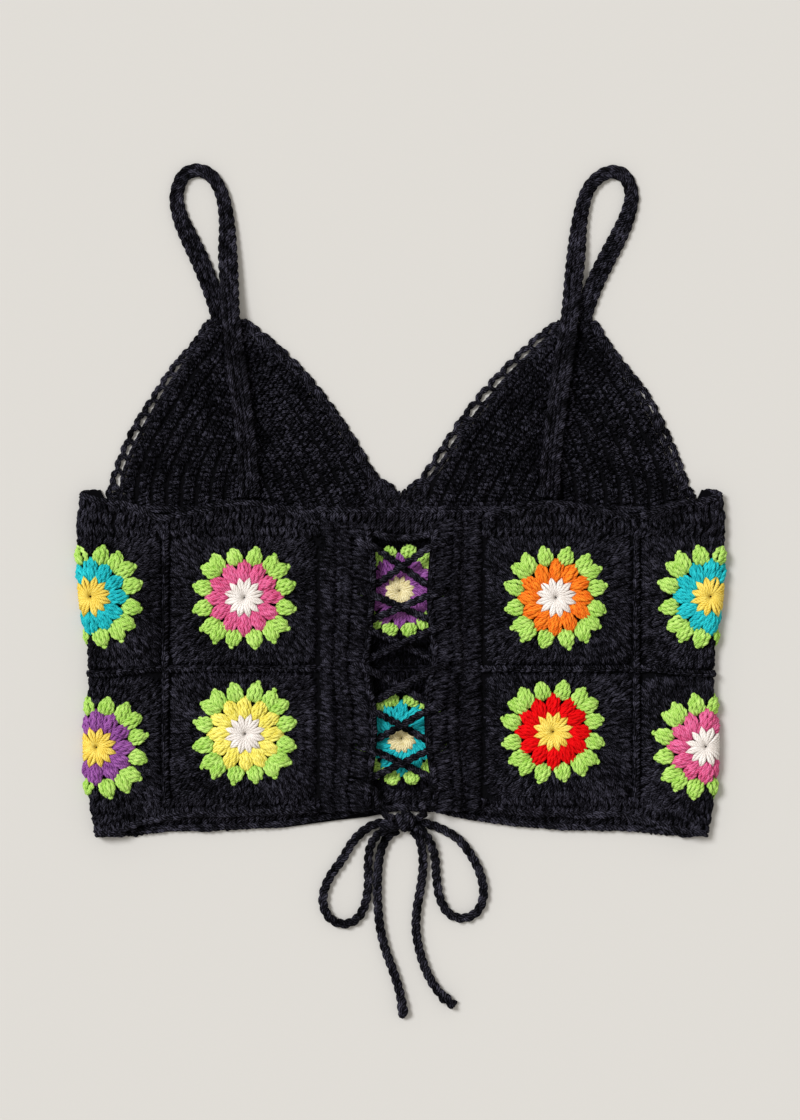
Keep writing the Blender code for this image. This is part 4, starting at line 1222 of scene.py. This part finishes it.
def cup_ribs(side_name):
    """The middle line of each rib: they follow the two edges, stand steeper inwards and meet at the strap."""
    armhole, neckline = cup_edges(side_name)
    side = SIDES[side_name]
    out = []
    for edge, sign, flare in ((armhole, -side, 200), (neckline, side, 24)):
        edge = edge[edge[:, 1].argsort()]
        ys = np.arange(CUP_BASE_Y + 0.6, 112.5, 1.2)
        edge_x = np.interp(ys, edge[:, 1], edge[:, 0])
        # Below the flare of the neckline the ribs run on steeply
        steep = np.interp(flare, edge[:, 1], edge[:, 0]) - 0.45 * sign * (flare - ys)
        guide = np.where((ys < flare) & (flare < 100), steep, edge_x)
        middle = strap_x(side_name, ys)
        spacing = np.interp(ys, (0, 60, 110), (9.2, 10.4, 11.0))
        for rib in range(-2, 11):
            x = guide + sign * spacing * (rib + 0.45) * (1 - 0.02 * max(rib, 0) * ys / 60)
            inside = ((middle - x) * sign > -1.5) & ((x - edge_x) * sign > 3.2)
            if inside.sum() > 3:
                out.append(np.column_stack([x, ys])[inside])
    return out


def cup(side_name):
    made = []
    for below in (False, True):
        place = ray_height(f"cup_{side_name}", 0 if below else FRONT_WALL, below)
        knit = Knit(place, sides=4 if below else 5)
        for rib in cup_ribs(side_name):
            if below:
                chain(knit, rib, *CUP_UNDER_CHAIN, 0.5, BUMP, stagger=0.5)
            else:
                pebbles(knit, rib, *CUP_PEBBLES)
        made.append(knit.make(f"stitches_cup_{side_name}" + ("_under" if below else ""), "black"))
    return made


def edging(name, cup_line, outer_line, outward, eyelets, slits):
    """A chain along the cup, posts across, and a plump loop over each eyelet."""
    slit, open_share = slits
    outer = smooth_path(outer_line, 6)
    fine = np.linspace(0, 1, 80)
    edge = resample(cup_line, fine)
    along = unit(np.gradient(edge, axis=0))
    edge = edge + EDGING_GAP * outward * np.column_stack([along[:, 1], -along[:, 0]])
    middles = (np.arange(eyelets + 1) + 0.18) / (eyelets + 0.36)

    def cross(shares, part, lift):
        """Points so far along, at a part of the way from the cup's edge to the outer line."""
        near = resample(edge, shares)
        part, lift = (np.broadcast_to(value, len(shares)) for value in (part, lift))
        return np.column_stack([near + (resample(outer, shares) - near) * part[:, None], lift])

    knit = Knit(sides=6)
    inner = cross(np.linspace(0.003, 0.997, 160), 0.14 - 0.12 * slit, 1.3)
    chain(knit, inner, 3.6 - 0.9 * slit, 3.6, 0.5, 1.05 - 0.2 * slit)
    low, high = (cross(middles, part, 0.6) for part in (0.05, 0.72))
    steps = np.linspace(0, 1, 6)[None, :, None]
    spokes = low[:, None] + (high - low)[:, None] * steps + UP * 0.8 * np.sin(np.pi * steps)
    knit.add(plies(spokes, 0.95, 0.5), 1.25)
    for a, b in zip(middles[:-1], middles[1:]):
        share = np.linspace(-0.08, 1.08, 12)
        arc = np.sin(np.pi * np.clip(share, 0, 1)) ** 0.6
        part = 0.58 + 0.07 * slit + 0.26 * arc
        loop = cross(np.clip(a + (b - a) * share, 0, 1), part, 1.1 + 0.6 * arc)
        loop = plies(loop[None], 1.0, 1.25, 2, RNG.uniform(0, 0.3)) * (1, 1, 0.6) + 0.4 * UP
        knit.add(loop, 1.22)
        if RNG.uniform() > open_share:
            inside = np.linspace(a + 0.1 * (b - a), b - 0.1 * (b - a), 5)
            filler = cross(inside, 0.4, (0.9, 1.5, 1.7, 1.5, 0.9))
            knit.add(filler[None], (1.1, 1.45, 1.6, 1.45, 1.1))
    piece = knit.make(f"{name}_yarn", "black")
    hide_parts(name)
    return piece


def edgings(side_name):
    """The armhole's edging runs on into the band with one more loop."""
    side = SIDES[side_name]
    armhole, neckline = cup_edges(side_name)
    outer = (*ARMHOLE_LINE[side_name], (side * 185.0, 0.0))
    # A fan of short stitches fills the armhole's foot
    knit = Knit(sides=6)
    ys = np.arange(-4.4, 6.5, 3.3)
    posts(knit, flat(side * 171.0, ys + 0.8), flat(side * (182.5 - 0.3 * ys), ys - 0.6), 1.1)
    neckline = neckline[neckline[:, 1] > NECK_END_Y]
    arm_slits, neck_slits = EDGING_SLITS[side_name]
    return [
        knit.make(f"edging_foot_{side_name}", "black"),
        edging(f"edging_armhole_{side_name}", armhole, outer, -side, EYELETS + 1, arm_slits),
        edging(f"edging_neck_{side_name}", neckline, NECK_LINE[side_name], side, EYELETS, neck_slits),
    ]


# Straps

# Over the cup a strap lies wider, and its edges stand higher: distance along it, then the value there
STRAP_SPREAD = ((85, 125), (1.34, 1.0))
ROPE_LIFT = ((85, 125), (1.1, 0.5))


def strap(side_name):
    """Two raised ropes along the edges and a row of V stitches between them."""
    made = []
    for top in (True, False):
        place, total = on_strap(side_name, top)
        knit = Knit(place, sides=5 if top else 4)

        # Ten flat millimetres stand for the strap's width
        def lay(points, place=place):
            wide = np.interp(points[..., 0], *STRAP_SPREAD)
            return place(np.stack([points[..., 0], 0.1 * wide * points[..., 1], points[..., 2]], axis=-1))

        knit.place = lay
        chain(knit, ((1.0, 0), (total + 1.5, 0)), 4.6, 4.6 if top else 6.5, 0.4, 1.15, UNEVEN)
        along = np.linspace(1.0, total + 1.5, round(total / (1.5 if top else 3.0)))
        for sign in (-1, 1):
            edge = np.column_stack([along, np.full(len(along), 3.4 * sign), np.interp(along, *ROPE_LIFT)])
            rope = plies(edge[None], 0.85, sign * total / 11.5, 2)
            knit.add(rope * (1, 1, 0.8), 1.25)
        made.append(knit.make(f"stitches_strap_{side_name}" + ("" if top else "_under"), "black"))
    return made


# The dark cloth below the strands, darker than the yarn as painted shade in the gaps

def ground_cloth(name, nodes, sideways=1.0):
    """The form of the solids, a little thinner, in one piece; seams close where sideways is below 0."""
    work = bmesh.new()
    for node in nodes:
        part = bmesh.new()
        part.from_mesh(bpy.data.objects[node].data)
        bmesh.ops.remove_doubles(part, verts=part.verts, dist=1e-6)
        part.normal_update()
        inwards = Vector((sideways, sideways, 1)) * INSET * MM
        moved = {v: v.co - v.normal * inwards * min(v.calc_shell_factor(), 1.8) for v in part.verts}
        for vertex, place in moved.items():
            vertex.co = place
        mesh = bpy.data.meshes.new("part")
        part.to_mesh(mesh)
        part.free()
        work.from_mesh(mesh)
        bpy.data.meshes.remove(mesh)
    mesh = bpy.data.meshes.new(name)
    work.to_mesh(mesh)
    work.free()
    mesh.materials.append(GROUND)
    piece = bpy.data.objects.new(name, mesh)
    show(piece)
    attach(piece, "root")
    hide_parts(*nodes)
    return piece


def cloths():
    """Every piece of cloth with the strands on it."""
    names = list(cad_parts)
    body_nodes = [n for n in names if n.startswith(("square_", "top_band_", "hem_", "lacing_band_"))]
    going = inside_squares() + under_squares()
    for side_name in SIDES:
        going += back_squares(side_name) + bands(side_name) + [placket(side_name)]
    body = ground_cloth("body_cloth", body_nodes, -0.25)
    for side_name in SIDES:
        piece = ground_cloth(f"cup_cloth_{side_name}", [f"cup_{side_name}"])
        cup(side_name) + edgings(side_name)
        piece = ground_cloth(f"strap_cloth_{side_name}", [f"strap_{side_name}"])
        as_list(strap(side_name))


camera()
bow()
lacing_cords()
bow_knot()
floor()
lights()
GROUND = cloth_material()
cloths()
